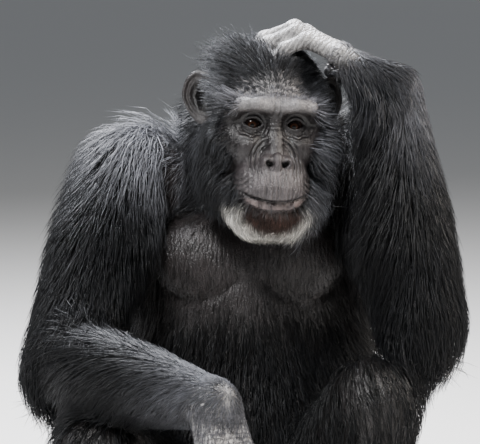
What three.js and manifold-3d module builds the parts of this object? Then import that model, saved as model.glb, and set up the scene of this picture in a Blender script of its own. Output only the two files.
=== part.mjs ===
// A chimpanzee that sits on the floor with its left hand on its head, life size.
// Millimetres, +Z up. It faces -Y, so its left side is +X and its back is +Y.
// The origin is on the floor, under the middle of the flat that the rump sits on.

import * as THREE from 'three';
import { mergeVertices } from 'three/addons/utils/BufferGeometryUtils.js';
import Module from 'manifold-3d';

const wasm = await Module();
wasm.setup();

const DEG = Math.PI / 180;
const GAP = 0.35; // left between pieces that touch
const SLACK = 0.12; // how far a facet may move when slivers are dropped
const at = (x, y, z) => new THREE.Vector3(x, y, z);
const { clamp, lerp } = THREE.MathUtils;

// Joints of the skeleton, which set the pose.
const RIGHT = -1;
const LEFT = 1;
const sidesOf = [LEFT, RIGHT];
const sideName = { [LEFT]: 'left', [RIGHT]: 'right' };
const hip = { [LEFT]: at(92, -25, 125), [RIGHT]: at(-92, -25, 125) };
const knee = { [LEFT]: at(150, -247, 316), [RIGHT]: at(-188, -268, 250) };
const ankle = { [LEFT]: at(136, -302, 72), [RIGHT]: at(-142, -430, 70) };
const shoulder = { [LEFT]: at(158, 8, 578), [RIGHT]: at(-152, -6, 562) };
const elbow = { [LEFT]: at(208, -216, 408), [RIGHT]: at(-226, -192, 352) };
const wrist = { [LEFT]: at(180, -170, 686), [RIGHT]: at(-42, -388, 343) };
const eyeLine = at(30, -200, 650);
const headTurn = { yaw: 11, pitch: 5, roll: 3.5 };

// How far the dense part of the coat stands off the skin, half way to the tips.
const coat = { trunk: 9, neck: 7, upperArm: 9, forearm: 8, thigh: 8, shin: 6, crown: 5 };

// A shape is a function: the distance from a point to the skin, less than 0 inside.
function egg(centre, [wide, deep, tall], tilt = 0) {
  const cos = Math.cos(tilt * DEG);
  const sin = Math.sin(tilt * DEG);
  return (p) => {
    const x = p.x - centre.x;
    const back = p.y - centre.y;
    const up = p.z - centre.z;
    const y = back * cos + up * sin;
    const z = up * cos - back * sin;
    const size = Math.hypot(x / wide, y / deep, z / tall);
    const slope = Math.hypot(x / wide ** 2, y / deep ** 2, z / tall ** 2);
    return slope > 1e-9 ? (size * (size - 1)) / slope : -Math.min(wide, deep, tall);
  };
}

function bone(start, end, startRadius, endRadius) {
  const run = end.clone().sub(start);
  const square = run.lengthSq();
  return (p) => {
    const dot = (p.x - start.x) * run.x + (p.y - start.y) * run.y + (p.z - start.z) * run.z;
    const share = clamp(dot / square, 0, 1);
    const x = p.x - start.x - run.x * share;
    const y = p.y - start.y - run.y * share;
    const z = p.z - start.z - run.z * share;
    return Math.hypot(x, y, z) - lerp(startRadius, endRadius, share);
  };
}

// Bones end to end through points, each point with the girth there.
function chain(points, radii) {
  const bones = radii.slice(1).map((radius, i) => bone(points[i], points[i + 1], radii[i], radius));
  return (p) => Math.min(...bones.map((shape) => shape(p)));
}

function blend(soft, ...shapes) {
  return (p) =>
    shapes.slice(1).reduce((near, shape) => {
      const far = shape(p);
      const mix = Math.max(soft - Math.abs(near - far), 0) / soft;
      return Math.min(near, far) - (mix * mix * soft) / 4;
    }, shapes[0](p));
}

function hollow(soft, shape, ...cuts) {
  const rest = blend(soft, (p) => -shape(p), ...cuts);
  return (p) => -rest(p);
}

// The same shape on both sides of the middle plane of the head.
function paired(shape) {
  const seen = at(0, 0, 0);
  return (p) => shape(seen.set(Math.abs(p.x), p.y, p.z));
}

const between = (a, b, share) => a.clone().lerp(b, share);
const shifted = (p, x, y, z) => at(p.x + x, p.y + y, p.z + z);

function slopeOf(shape, p) {
  const step = 0.5;
  const rise = ['x', 'y', 'z'].map((way) => {
    const ahead = p.clone();
    const behind = p.clone();
    ahead[way] += step;
    behind[way] -= step;
    return shape(ahead) - shape(behind);
  });
  return at(...rise).normalize();
}

// Follows a ray out of a shape to where the shape ends.
function edge(shape, from, way, level) {
  const near = from.clone();
  let gone = 0;
  for (let step = 0; step < 400; step += 1) {
    const left = level - shape(near);
    if (left < 0.01) break;
    gone += Math.max(left * 0.6, 0.02);
    near.copy(from).addScaledVector(way, gone);
  }
  return near;
}

// Closes a sphere's net over a shape: each ring of rays leaves its own place on the axis,
// and the first and last rings fan out round the two ends.
function wrap({ axis, side, sides, rings, ends = 3, shape }, level = 0) {
  const net = new THREE.SphereGeometry(1, sides, rings);
  const curve = new THREE.CatmullRomCurve3(axis);
  const place = net.attributes.position;
  for (let row = 0; row <= rings; row += 1) {
    const share = clamp((row - ends) / (rings - 2 * ends), 0, 1);
    const fan = row < ends ? row - ends : Math.max(row - rings + ends, 0);
    const tilt = (fan / ends) * 90 * DEG;
    const from = curve.getPoint(share);
    const run = curve.getTangent(share);
    const across = side.clone().addScaledVector(run, -side.dot(run)).normalize();
    const up = run.clone().cross(across);
    for (let column = 0; column <= sides; column += 1) {
      const turn = (column / sides) * 2 * Math.PI;
      const way = across.clone().multiplyScalar(Math.cos(turn) * Math.cos(tilt));
      way.addScaledVector(up, Math.sin(turn) * Math.cos(tilt)).addScaledVector(run, Math.sin(tilt));
      const hit = edge(shape, from, way.normalize(), level);
      place.setXYZ(row * (sides + 1) + (column % sides), hit.x, hit.y, hit.z);
      if (column === sides) place.setXYZ(row * (sides + 1) + sides, hit.x, hit.y, hit.z);
    }
  }
  return net;
}

function volumeOf(place, index) {
  const [a, b, c] = [at(0, 0, 0), at(0, 0, 0), at(0, 0, 0)];
  let sum = 0;
  for (let i = 0; i < index.length; i += 3) {
    a.fromArray(place, index[i] * 3);
    b.fromArray(place, index[i + 1] * 3);
    c.fromArray(place, index[i + 2] * 3);
    sum += a.dot(b.cross(c));
  }
  return sum;
}

function solid(geometry) {
  const bare = geometry.clone();
  bare.deleteAttribute('normal');
  bare.deleteAttribute('uv');
  const merged = mergeVertices(bare, 1e-3);
  const place = Float32Array.from(merged.attributes.position.array);
  const index = Uint32Array.from(merged.index.array);
  if (volumeOf(place, index) < 0) index.reverse();
  return new wasm.Manifold(new wasm.Mesh({ numProp: 3, vertProperties: place, triVerts: index }));
}

const block = (low, high) => {
  const size = high.clone().sub(low);
  const box = new THREE.BoxGeometry(size.x, size.y, size.z);
  return solid(box.translate(...between(low, high, 0.5).toArray()));
};

// Keeps what lies on one side of a plane through a point. The normal points to what is kept.
const trim = (made, point, normal, level) => {
  const unit = normal.clone().normalize();
  return made.trimByPlane(unit.toArray(), unit.dot(point) + GAP / 2 - level);
};

const FAR = 1500;
const below = (z) => block(at(-FAR, -FAR, -FAR), at(FAR, FAR, z));
const floorBlock = below(0);

// The head is described in its own frame: the origin is between the fronts of the eyes,
// the face looks along -Y and the face's plane is upright.
const headFrame = new THREE.Matrix4()
  .makeRotationZ(headTurn.yaw * DEG)
  .multiply(new THREE.Matrix4().makeRotationX(-headTurn.pitch * DEG))
  .multiply(new THREE.Matrix4().makeRotationY(headTurn.roll * DEG))
  .setPosition(eyeLine);
const headPoint = (x, y, z) => at(x, y, z).applyMatrix4(headFrame);

const eye = { apart: 26, deep: 11.5, radius: 11.5 };
const cranium = egg(at(0, 64, 42), [58, 75, 57], 25);
const brow = chain(
  [at(0, -8, 21), at(24, -10, 23), at(43, -3, 21), at(54, 14, 8), at(54, 22, -14)],
  [9.5, 10, 10, 8, 9],
);
const cheekbone = chain([at(50, 20, -16), at(60, 48, -20), at(60, 74, -4)], [12, 12, 10]);
const cheek = egg(at(30, 14, -28), [27, 24, 24]);
const skullBase = egg(at(0, 46, -40), [48, 46, 66]);
const temple = egg(at(40, 44, 14), [22, 40, 34]);
const noseBridge = chain([at(0, 4, 10), at(0, -7, -14), at(0, -17, -34)], [9, 8, 10]);
const noseTip = blend(6, egg(at(0, -24, -44), [9, 8, 8]), paired(egg(at(12, -20, -46), [9, 9, 8])));
const muzzle = egg(at(0, 6, -74), [48, 40, 42]);
const upperLip = egg(at(0, -6, -86), [40, 27, 18]);
const lowerJaw = egg(at(0, 16, -112), [38, 36, 27]);
const jaw = chain([at(24, 16, -110), at(48, 62, -74), at(54, 74, -26)], [20, 20, 18]);
const throat = bone(at(0, 44, -92), at(0, 96, -40), 32, 48);
const socket = egg(at(28, -12, -1), [18, 19, 13]);

const faceSkin = hollow(
  7,
  blend(
    13,
    cranium,
    skullBase,
    paired(temple),
    paired(brow),
    paired(cheekbone),
    paired(cheek),
    noseBridge,
    muzzle,
    upperLip,
    lowerJaw,
    paired(jaw),
    throat,
  ),
  paired(socket),
);
const headSkin = blend(5, faceSkin, noseTip);

// The short thick hair of the crown and the whiskers on the cheeks, as far as they are dense.
const crownHair = egg(at(0, 74, 42), [62 + coat.crown, 70 + coat.crown, 56 + coat.crown], 25);
const whiskers = chain(
  [at(56, 58, 20), at(63, 54, -24), at(56, 50, -66), at(34, 32, -104)],
  [17, 22, 24, 22],
);
const headShape = blend(12, headSkin, crownHair, paired(whiskers));

const headNet = {
  axis: [at(0, 12, -96), at(0, 28, -60), at(0, 44, -10), at(0, 62, 38)],
  side: at(0, -1, 0),
  sides: 36,
  rings: 24,
  ends: 5,
  shape: headShape,
};

const inHead = (made) => made.transform(headFrame.elements);
const ball = (centre, radius, columns = 14, rows = 10) =>
  solid(new THREE.SphereGeometry(radius, columns, rows).translate(...centre.toArray()));

const eyeBall = (side, level = 0) =>
  inHead(ball(at(side * eye.apart, eye.deep, 0), eye.radius + level, 12, 8));

// A roll of flesh through points, thick in the middle and thin at its two ends.
function roll(points, radius, columns = 6, rows = 9) {
  const curve = new THREE.CatmullRomCurve3(points);
  const net = new THREE.SphereGeometry(1, columns, rows);
  const place = net.attributes.position;
  const v = at(0, 0, 0);
  for (let i = 0; i < place.count; i += 1) {
    v.fromBufferAttribute(place, i);
    const share = (1 - v.y) / 2;
    const run = curve.getTangent(share);
    const up = at(0, 0, 1).addScaledVector(run, -run.z).normalize();
    const out = up.clone().cross(run);
    const girth = Math.sqrt(clamp(1 - v.y * v.y, 1e-12, 1));
    const thick = radius * girth ** 0.5;
    const spot = curve.getPoint(share);
    if (girth > 1e-5) {
      spot.addScaledVector(up, (v.z / girth) * thick).addScaledVector(out, (v.x / girth) * thick);
    }
    place.setXYZ(i, spot.x, spot.y, spot.z);
  }
  return solid(net);
}

// The lids of an eye: a thicker ball over the eyeball, opened in front where two rounds cross.
const lids = { thick: 2.6, wide: 11.5, high: 6.2 };
const lidBall = (side, level) =>
  ball(at(side * eye.apart, eye.deep, 0), eye.radius + lids.thick + level, 14, 9);
function lidOpening(side) {
  const bend = (lids.wide ** 2 + lids.high ** 2) / (2 * lids.high);
  const rounds = [1, -1].map((way) => {
    const round = new THREE.CylinderGeometry(bend, bend, 24, 40);
    return solid(round.translate(side * eye.apart, -4, way * (bend - lids.high)));
  });
  return rounds[0].intersect(rounds[1]);
}

const mouthLine = (share, rise = 0, out = 0) => {
  const across = share * 43;
  return at(across, -29.5 + 27 * share ** 2 + 11 * share ** 4 - out, -101 + 12 * share ** 2 + rise);
};
const mouthPoints = [-1, -0.8, -0.5, 0, 0.5, 0.8, 1];

function headSolid(level, locks) {
  const skull = solid(wrap(headNet, level));
  const lips = [
    roll(mouthPoints.map((s) => mouthLine(s * 0.98, 4.6, 1.5)), 4.2 + level, 6, 10),
    roll(mouthPoints.map((s) => mouthLine(s * 0.9, -4.6, 0.5)), 4.0 + level, 6, 10),
  ];
  const nostrils = [LEFT, RIGHT].map((side) => {
    const hole = new THREE.SphereGeometry(1, 8, 6).scale(5.2, 6, 3.2).rotateY(side * 35 * DEG);
    return solid(hole.translate(side * 9.5, -31, -51));
  });
  const mouth = roll(mouthPoints.map((s) => mouthLine(s * 0.97, 0, 4)), 1.5, 4, 10);
  const lidBalls = sidesOf.map((side) => lidBall(side, level));
  const face = wasm.Manifold.union([skull, ...lips, ...lidBalls, ...locks.map((plan) => lock(plan, level))]);
  if (level > 0) return inHead(face);
  return inHead(wasm.Manifold.difference([face, ...nostrils, mouth, ...sidesOf.map(lidOpening)]));
}

// The cup of an ear: a rounded plate with a raised rim and a deep hollow, seen from in front.
const ear = { tall: 33, wide: 23, thick: 4.5, rim: 4, cup: 9 };
function earSolid(side, level = 0) {
  const net = new THREE.SphereGeometry(1, 14, 10);
  net.rotateX(90 * DEG);
  const place = net.attributes.position;
  const v = at(0, 0, 0);
  for (let i = 0; i < place.count; i += 1) {
    v.fromBufferAttribute(place, i);
    const reach = Math.hypot(v.x, v.y);
    const round = Math.min(1, reach * 1.04);
    const rim = ear.rim * Math.exp(-(((round - 0.86) / 0.13) ** 2));
    const cup = ear.cup * Math.max(0, 1 - (round / 0.72) ** 2);
    const front = v.z > 0 ? ear.thick + rim - cup : -ear.thick - cup * 0.9;
    const edgeShare = Math.sqrt(Math.max(1 - round ** 4, 0));
    const lobe = 1 - 0.22 * clamp(-v.y, 0, 1);
    place.setXYZ(
      i,
      v.x * (ear.wide + level) * lobe,
      v.y * (ear.tall + level),
      front * (v.z > 0 ? Math.max(edgeShare, 0.3) : edgeShare) + Math.sign(v.z) * level,
    );
  }
  const frame = new THREE.Matrix4()
    .makeTranslation(side * 80, 70, 30)
    .multiply(new THREE.Matrix4().makeRotationZ(side * 28 * DEG))
    .multiply(new THREE.Matrix4().makeRotationX(90 * DEG))
    .multiply(new THREE.Matrix4().makeRotationZ(-side * 10 * DEG));
  return inHead(solid(net).transform(frame.elements));
}

// The trunk, hunched forward: rump, belly, ribs, shoulder girdle and breast.
const trunkSkin = blend(
  36,
  blend(
    70,
    egg(at(0, 10, 90), [132, 108, 92]),
    egg(at(0, 0, 232), [142, 136, 128]),
    egg(at(0, 16, 396), [144, 128, 146], 8),
    egg(at(0, 30, 518), [136, 84, 80], 24),
  ),
  egg(at(-64, -70, 466), [60, 42, 50], 10),
  egg(at(64, -70, 472), [60, 42, 50], 10),
  egg(shifted(shoulder[LEFT], -30, 10, -4), [58, 60, 56]),
  egg(shifted(shoulder[RIGHT], 26, 12, -4), [58, 60, 56]),
);
const trunkNet = {
  axis: [at(0, 22, 74), at(0, 4, 236), at(0, 16, 400), at(0, 40, 545)],
  side: at(0, -1, 0),
  sides: 22,
  rings: 18,
  ends: 4,
  shape: trunkSkin,
};
const waist = 188;
const ribsEnd = 352;
function trunkPiece(low, high, level) {
  const whole = solid(wrap(trunkNet, coat.trunk + level));
  return whole.intersect(block(at(-FAR, -FAR, low - level), at(FAR, FAR, high + level)));
}

const nape = headPoint(0, 76, -26);
const neckShape = blend(30, bone(at(2, 26, 545), at(8, -14, 604), 86, 70), bone(at(8, -14, 604), nape, 70, 44));
const neckNet = {
  axis: [at(4, 18, 556), at(8, -24, 608), nape],
  side: at(1, 0, 0),
  sides: 12,
  rings: 8,
  ends: 3,
  shape: neckShape,
};

// A limb's net: its axis runs from one joint to the next.
const limbNet = (start, end, shape, sides, rings) => ({
  axis: [start, between(start, end, 0.5), end],
  side: at(1, 0, 0),
  sides,
  rings,
  ends: 3,
  shape,
});

const upperArm = (side) => {
  const [top, low] = [shoulder[side], elbow[side]];
  const middle = shifted(between(top, low, 0.45), side * 6, -4, 0);
  return limbNet(top, low, chain([top, middle, low], [60, 56, 45]), 10, 8);
};
const forearm = (side) => {
  const [top, low] = [elbow[side], wrist[side]];
  const belly = between(top, low, 0.28);
  return limbNet(top, low, chain([top, belly, between(top, low, 0.7), low], [42, 45, 35, 28]), 10, 8);
};
const thigh = (side) => {
  const [top, low] = [hip[side], knee[side]];
  return limbNet(top, low, chain([top, between(top, low, 0.5), low], [82, 68, 52]), 11, 8);
};
const shin = (side) => {
  const [top, low] = [knee[side], ankle[side]];
  const calf = shifted(between(top, low, 0.32), 0, 14, 0);
  return limbNet(top, low, blend(14, bone(top, low, 50, 29), bone(calf, between(top, low, 0.7), 42, 32)), 12, 9);
};

// Hands: a palm of four bones, then fingers that curl from knuckle to tip.
const fingers = [
  { name: 'index_finger', across: 29, palm: 93, bones: [50, 33, 20], girth: 11.5 },
  { name: 'middle_finger', across: 10, palm: 96, bones: [57, 40, 22], girth: 12 },
  { name: 'ring_finger', across: -10, palm: 91, bones: [53, 37, 21], girth: 11.5 },
  { name: 'little_finger', across: -28, palm: 83, bones: [42, 28, 18], girth: 10.5 },
];
const handPose = {
  [LEFT]: { run: at(-0.81, 0.24, 0.53), thumbWay: at(0.24, 0.96, -0.1), curls: [4, 44, 22], thumbCurl: 20 },
  [RIGHT]: { run: at(0.22, -0.42, -0.88), thumbWay: at(0.76, 0.65, 0), curls: [24, 38, 26], thumbCurl: 25 },
};

function handFrame(side) {
  const { run, thumbWay } = handPose[side];
  const along = run.clone().normalize();
  const across = thumbWay.clone().addScaledVector(along, -thumbWay.dot(along)).normalize();
  const palmWay = along.clone().cross(across).multiplyScalar(side);
  return { along, across, palmWay };
}

function fingerPoints(side, finger, order) {
  const { along, across, palmWay } = handFrame(side);
  const spread = across.clone().multiplyScalar(finger.across * 0.0035);
  const points = [wrist[side].clone().addScaledVector(along, finger.palm).addScaledVector(across, finger.across)];
  let bend = 0;
  finger.bones.forEach((length, i) => {
    bend += (handPose[side].curls[i] + order * 1.5) * DEG;
    const way = along.clone().multiplyScalar(Math.cos(bend)).addScaledVector(palmWay, Math.sin(bend)).add(spread);
    points.push(points[i].clone().addScaledVector(way.normalize(), length));
  });
  return points;
}

function digitNet(points, girth, sides = 6, rings = 8) {
  const radii = points.map((_, i) => girth * (1 - 0.09 * i));
  const tip = points.at(-1).clone().lerp(points.at(-2), radii.at(-1) / points.at(-1).distanceTo(points.at(-2)));
  const line = [...points.slice(0, -1), tip];
  return { axis: line, side: at(0.1, 0.2, 1), sides, rings, ends: 2, shape: chain(line, radii) };
}

const palmShape = (side) => {
  const { along, across } = handFrame(side);
  const bones = fingers.map((finger) => {
    const root = wrist[side].clone().addScaledVector(across, finger.across * 0.55).addScaledVector(along, 12);
    const knuckle = wrist[side].clone().addScaledVector(along, finger.palm).addScaledVector(across, finger.across);
    return bone(root, knuckle, 17, 13.5);
  });
  return blend(9, bone(wrist[side], wrist[side].clone().addScaledVector(along, 22), 27, 20), ...bones);
};
const palmNet = (side) => {
  const { along, across } = handFrame(side);
  const reach = (length) => wrist[side].clone().addScaledVector(along, length);
  return {
    axis: [reach(2), reach(45), reach(84)],
    side: across,
    sides: 12,
    rings: 8,
    ends: 3,
    shape: palmShape(side),
  };
};

function thumbPoints(side) {
  const { along, across, palmWay } = handFrame(side);
  const root = wrist[side].clone().addScaledVector(along, 22).addScaledVector(across, 24).addScaledVector(palmWay, 8);
  const points = [root];
  [42, 28, 20].forEach((length, i) => {
    const turn = (34 - i * handPose[side].thumbCurl) * DEG;
    const way = along.clone().multiplyScalar(Math.cos(turn)).addScaledVector(across, Math.sin(turn));
    points.push(points[i].clone().addScaledVector(way.addScaledVector(palmWay, 0.25).normalize(), length));
  });
  return points;
}

// Feet: flat on the floor, with the big toe set apart like a thumb.
const toes = [
  { name: 'second_toe', across: 19, sole: 148, bones: [30, 20, 15], girth: 10.5 },
  { name: 'third_toe', across: 4, sole: 150, bones: [31, 21, 15], girth: 10.5 },
  { name: 'fourth_toe', across: -11, sole: 143, bones: [29, 19, 14], girth: 10 },
  { name: 'fifth_toe', across: -26, sole: 130, bones: [24, 16, 13], girth: 9.5 },
];
const footWay = { [LEFT]: at(0.1, -1, 0), [RIGHT]: at(-0.16, -1, 0) };

function footFrame(side) {
  const along = footWay[side].clone().normalize();
  const inward = at(0, 0, 1).cross(along).multiplyScalar(-side);
  const heel = ankle[side].clone().setZ(24).addScaledVector(along, -34);
  return { along, inward, heel };
}

const footPlace = (side, forward, across, up) => {
  const frame = footFrame(side);
  const spot = frame.heel.clone().addScaledVector(frame.along, forward).addScaledVector(frame.inward, across);
  return spot.setZ(up);
};

const footShape = (side) => {
  const bones = toes.map((toe) =>
    bone(footPlace(side, 60, toe.across * 0.5, 28), footPlace(side, toe.sole, toe.across, 13), 19, 12.5),
  );
  const heel = bone(footPlace(side, 0, 0, 22), footPlace(side, 60, 2, 30), 25, 24);
  const instep = bone(ankle[side], footPlace(side, 84, 6, 28), 28, 20);
  return blend(10, heel, instep, ...bones);
};
const footNet = (side) => ({
  axis: [footPlace(side, 8, 0, 24), footPlace(side, 70, 1, 24), footPlace(side, 132, -2, 15)],
  side: at(1, 0, 0),
  sides: 12,
  rings: 9,
  ends: 3,
  shape: footShape(side),
});

const toePoints = (side, toe) => {
  const points = [footPlace(side, toe.sole, toe.across, 12)];
  toe.bones.forEach((length, i) => {
    const last = points[i];
    const drop = [0.18, -0.1, -0.3][i];
    const frame = footFrame(side);
    const way = frame.along.clone().addScaledVector(frame.inward, toe.across * 0.006).setZ(drop).normalize();
    const next = last.clone().addScaledVector(way, length);
    points.push(next.setZ(Math.max(next.z, toe.girth * 0.72)));
  });
  return points;
};
const bigToePoints = (side) => [
  footPlace(side, 74, 22, 18),
  footPlace(side, 106, 44, 15),
  footPlace(side, 134, 54, 12),
  footPlace(side, 158, 58, 11),
];

// Locks: flat tapered tufts that stand for the loose outer half of the coat. Each one starts
// under the dense core, follows the lie of the hair over it, and rises to the coat's full depth.
let seed = 19;
const chance = () => {
  seed = (seed * 16807) % 2147483647;
  return seed / 2147483647;
};
const spread = (amount) => (chance() * 2 - 1) * amount;

// The line of a lock: points on the skin's shape, each with its way out of it.
function lockLine({ shape, start, lie, long, rise, depth }) {
  const line = [];
  const spot = start.clone();
  [0, 1, 2, 3].forEach((share) => {
    const out = slopeOf(shape, spot);
    const height = [depth - 7, depth + 1.5, depth + rise * 0.55, depth + rise][share];
    const lift = height - shape(spot);
    spot.addScaledVector(out, lift < 0 && share > 0 ? lift * 0.35 : lift);
    line.push({ spot: spot.clone(), out });
    const way = lie(spot);
    way.addScaledVector(out, -way.dot(out)).normalize();
    spot.addScaledVector(way, long * [0.26, 0.4, 0.34, 0][share]);
  });
  return line;
}

// A cone of three sides bent along the line, with one flat side against the skin.
function lock(plan, level) {
  const line = lockLine(plan);
  const tail = line[3].spot.clone().sub(line[2].spot).normalize();
  const net = new THREE.ConeGeometry(1, 3, 3, 3).translate(0, 1.5, 0);
  const place = net.attributes.position;
  for (let i = 0; i < place.count; i += 1) {
    const row = Math.round(place.getY(i));
    const { spot, out } = line[row];
    const run = (row < 3 ? line[row + 1].spot : line[3].spot).clone().sub(line[Math.max(row - 1, 0)].spot);
    const across = run.normalize().clone().cross(out).normalize();
    const full = [0.8, 1, 0.72, 0][row];
    const size = row < 3 ? 1 / (1 - row / 3) : 0;
    const wide = full * plan.wide + (row < 3 ? level * 3 : 0);
    const thick = full * plan.thick + (row < 3 ? level * 2 : 0);
    const end = spot.clone();
    if (row === 0) end.addScaledVector(run, -level);
    if (row === 3) end.addScaledVector(tail, level * 8);
    end.addScaledVector(across, place.getX(i) * size * wide);
    end.addScaledVector(out, place.getZ(i) * size * thick);
    place.setXYZ(i, end.x, end.y, end.z);
  }
  return solid(net);
}

// Rows of locks round a limb or the trunk. Each row starts at its share of the way along the axis.
function lockRows(net, { from, to, rows, round, long, wide, rise, depth, lie, turns = [0, 360], skin = net.shape }) {
  const curve = new THREE.CatmullRomCurve3(net.axis);
  const plans = [];
  for (let row = 0; row < rows; row += 1) {
    const share = lerp(from, to, rows > 1 ? row / (rows - 1) : 0.5);
    const run = curve.getTangent(share);
    const across = net.side.clone().addScaledVector(run, -net.side.dot(run)).normalize();
    const up = run.clone().cross(across);
    for (let column = 0; column < round; column += 1) {
      const step = (turns[1] - turns[0]) / round;
      const turn = (turns[0] + step * (column + (row % 2) / 2 + 0.25 + spread(0.12))) * DEG;
      const place = curve.getPoint(clamp(share + spread(0.02), 0, 1));
      const way = across.clone().multiplyScalar(Math.cos(turn)).addScaledVector(up, Math.sin(turn));
      const start = edge(net.shape, place, way.normalize(), depth);
      const size = 1 + spread(0.12);
      plans.push({ shape: skin, start, lie, long: long * size, wide: wide * size, thick: wide * 0.3, rise, depth });
    }
  }
  return plans;
}

// Colours of the finished surfaces.
const finish = (color, roughness) => new THREE.MeshStandardMaterial({ color, roughness, metalness: 0 });
const black = finish('#15161a', 0.75);
const faceGrey = finish('#4b4644', 0.6);
const handGrey = finish('#6b6966', 0.65);
const eyeBrown = finish('#2a130a', 0.1);

const model = new THREE.Group();
const cutters = [];

const largest = (made) => made.decompose().sort((a, b) => b.volume() - a.volume())[0];
function geometryOf(made) {
  const mesh = made.getMesh();
  const geometry = new THREE.BufferGeometry();
  geometry.setAttribute('position', new THREE.BufferAttribute(Float32Array.from(mesh.vertProperties), 3));
  geometry.setIndex(new THREE.BufferAttribute(Uint32Array.from(mesh.triVerts), 1));
  geometry.computeVertexNormals();
  return geometry;
}

// Adds one named piece. It is cut clear of every piece before it, and keeps its largest body,
// looked for again once slivers are dropped and points rounded, which can part it at a thin place.
function add(name, material, make, onFloor = false) {
  const cut = wasm.Manifold.difference([make(0), ...cutters, ...(onFloor ? [floorBlock] : [])]);
  const rounded = solid(geometryOf(largest(cut).simplify(SLACK)));
  const node = new THREE.Mesh(geometryOf(largest(rounded)), material);
  node.name = name;
  model.add(node);
  cutters.push(make(GAP));
}

// The planes at which neighbours part, each with its normal towards the outer piece.
const cutPlane = (point, normal) => ({ point, normal });
const wayTo = (a, b) => b.clone().sub(a).normalize();
const elbowPlane = (side) => {
  const out = wayTo(shoulder[side], elbow[side]).add(wayTo(elbow[side], wrist[side]));
  return cutPlane(elbow[side], out);
};
const planes = {
  neckTop: cutPlane(headPoint(0, 60, -112), headPoint(0, -0.855, 0.524).sub(eyeLine)),
};
sidesOf.forEach((side) => {
  const name = sideName[side];
  planes[`elbow_${name}`] = elbowPlane(side);
  planes[`wrist_${name}`] = cutPlane(
    between(wrist[side], elbow[side], 0.02),
    wayTo(elbow[side], wrist[side]).add(handFrame(side).along),
  );
  planes[`knee_${name}`] = cutPlane(knee[side], wayTo(hip[side], knee[side]).add(wayTo(knee[side], ankle[side])));
  planes[`ankle_${name}`] = cutPlane(shifted(ankle[side], 0, 0, 8), at(0, -0.25, -1));
});

// A smooth core over a net, parted at the planes before it and after it.
const core = (net, depth, start, end) => (level) => {
  let made = solid(wrap(net, depth + level));
  if (start) made = trim(made, start.point, start.normal, level);
  if (end) made = trim(made, end.point, end.normal.clone().negate(), level);
  return made;
};

// A core with its locks over it.
const coated = (make, plans) => (level) => wasm.Manifold.union([make(level), ...plans.map((plan) => lock(plan, level))]);

// Hair of the head: back over the crown, down and out from the cheeks, down from the chin.
const headLie = (p) => {
  const low = clamp((30 - p.z) / 70, 0, 1);
  return at((p.x / 60) * (0.2 + 0.35 * low), lerp(1, 0.45, low), lerp(-0.1, -1, low));
};
const headLock = (x, y, z, long, wide, rise) => ({
  shape: headShape,
  start: edge(headShape, at(0, 40, clamp(z, -70, 40)), at(x, y, z).sub(at(0, 40, clamp(z, -70, 40))).normalize(), 0),
  lie: headLie,
  long,
  wide,
  thick: wide * 0.35,
  rise,
  depth: 0,
});
const crownLocks = [0, 1].flatMap((row) =>
  [-68, -24, 22, 66].slice(row).map((turn) => {
    const angle = (turn - row * 22) * DEG;
    return headLock(Math.sin(angle) * 64, [96, 142][row], 42 + Math.cos(angle) * [46, 18][row], 66, 26, 16);
  }),
);
const cheekLocks = sidesOf.flatMap((side) =>
  [[34, 0], [42, -44], [62, -26], [64, -62]].map(([y, z]) => headLock(side * 80, y, z, 62, 17, 17)),
);
const beardLocks = [-56, 0, 56].map((turn) => {
  const angle = turn * DEG;
  return headLock(Math.sin(angle) * 44, 30 - Math.cos(angle) * 40, -122, 36, 19, 5);
});
const headLocks = [...crownLocks, ...cheekLocks, ...beardLocks];

// Along a limb, drawn a little towards the ground.
const limbLie = (from, to, drop) => {
  const way = wayTo(from, to).add(at(0, 0, -drop));
  return () => way.clone();
};

sidesOf.forEach((side) => add(`eye_${sideName[side]}`, eyeBrown, (level) => eyeBall(side, level)));
add('head', faceGrey, (level) =>
  trim(headSolid(level, headLocks), planes.neckTop.point, planes.neckTop.normal, level),
);
sidesOf.forEach((side) => add(`ear_${sideName[side]}`, faceGrey, (level) => earSolid(side, level)));

const trunkLie = (p) => at(p.x * 0.002, 0.05, -1);
const trunkLocks = (from, to, rows, round, turns, long, wide) =>
  lockRows(trunkNet, { from, to, rows, round, turns, long, wide, rise: 12, depth: coat.trunk, lie: trunkLie });
const shoulderLocks = trunkLocks(0.93, 0.72, 2, 3, [125, 235], 150, 40);
const ribLocks = trunkLocks(0.5, 0.5, 1, 4, [105, 255], 150, 42);
const flankLocks = trunkLocks(0.3, 0.3, 1, 5, [80, 280], 135, 44);
const rumpLocks = trunkLocks(0.08, 0.08, 1, 5, [80, 280], 105, 40);
add('chest', black, coated((level) => trunkPiece(ribsEnd, FAR, level), shoulderLocks));
add('abdomen', black, coated((level) => trunkPiece(waist, ribsEnd, level), ribLocks));
add('pelvis', black, coated((level) => trunkPiece(-FAR, waist, level), [...flankLocks, ...rumpLocks]), true);

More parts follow.
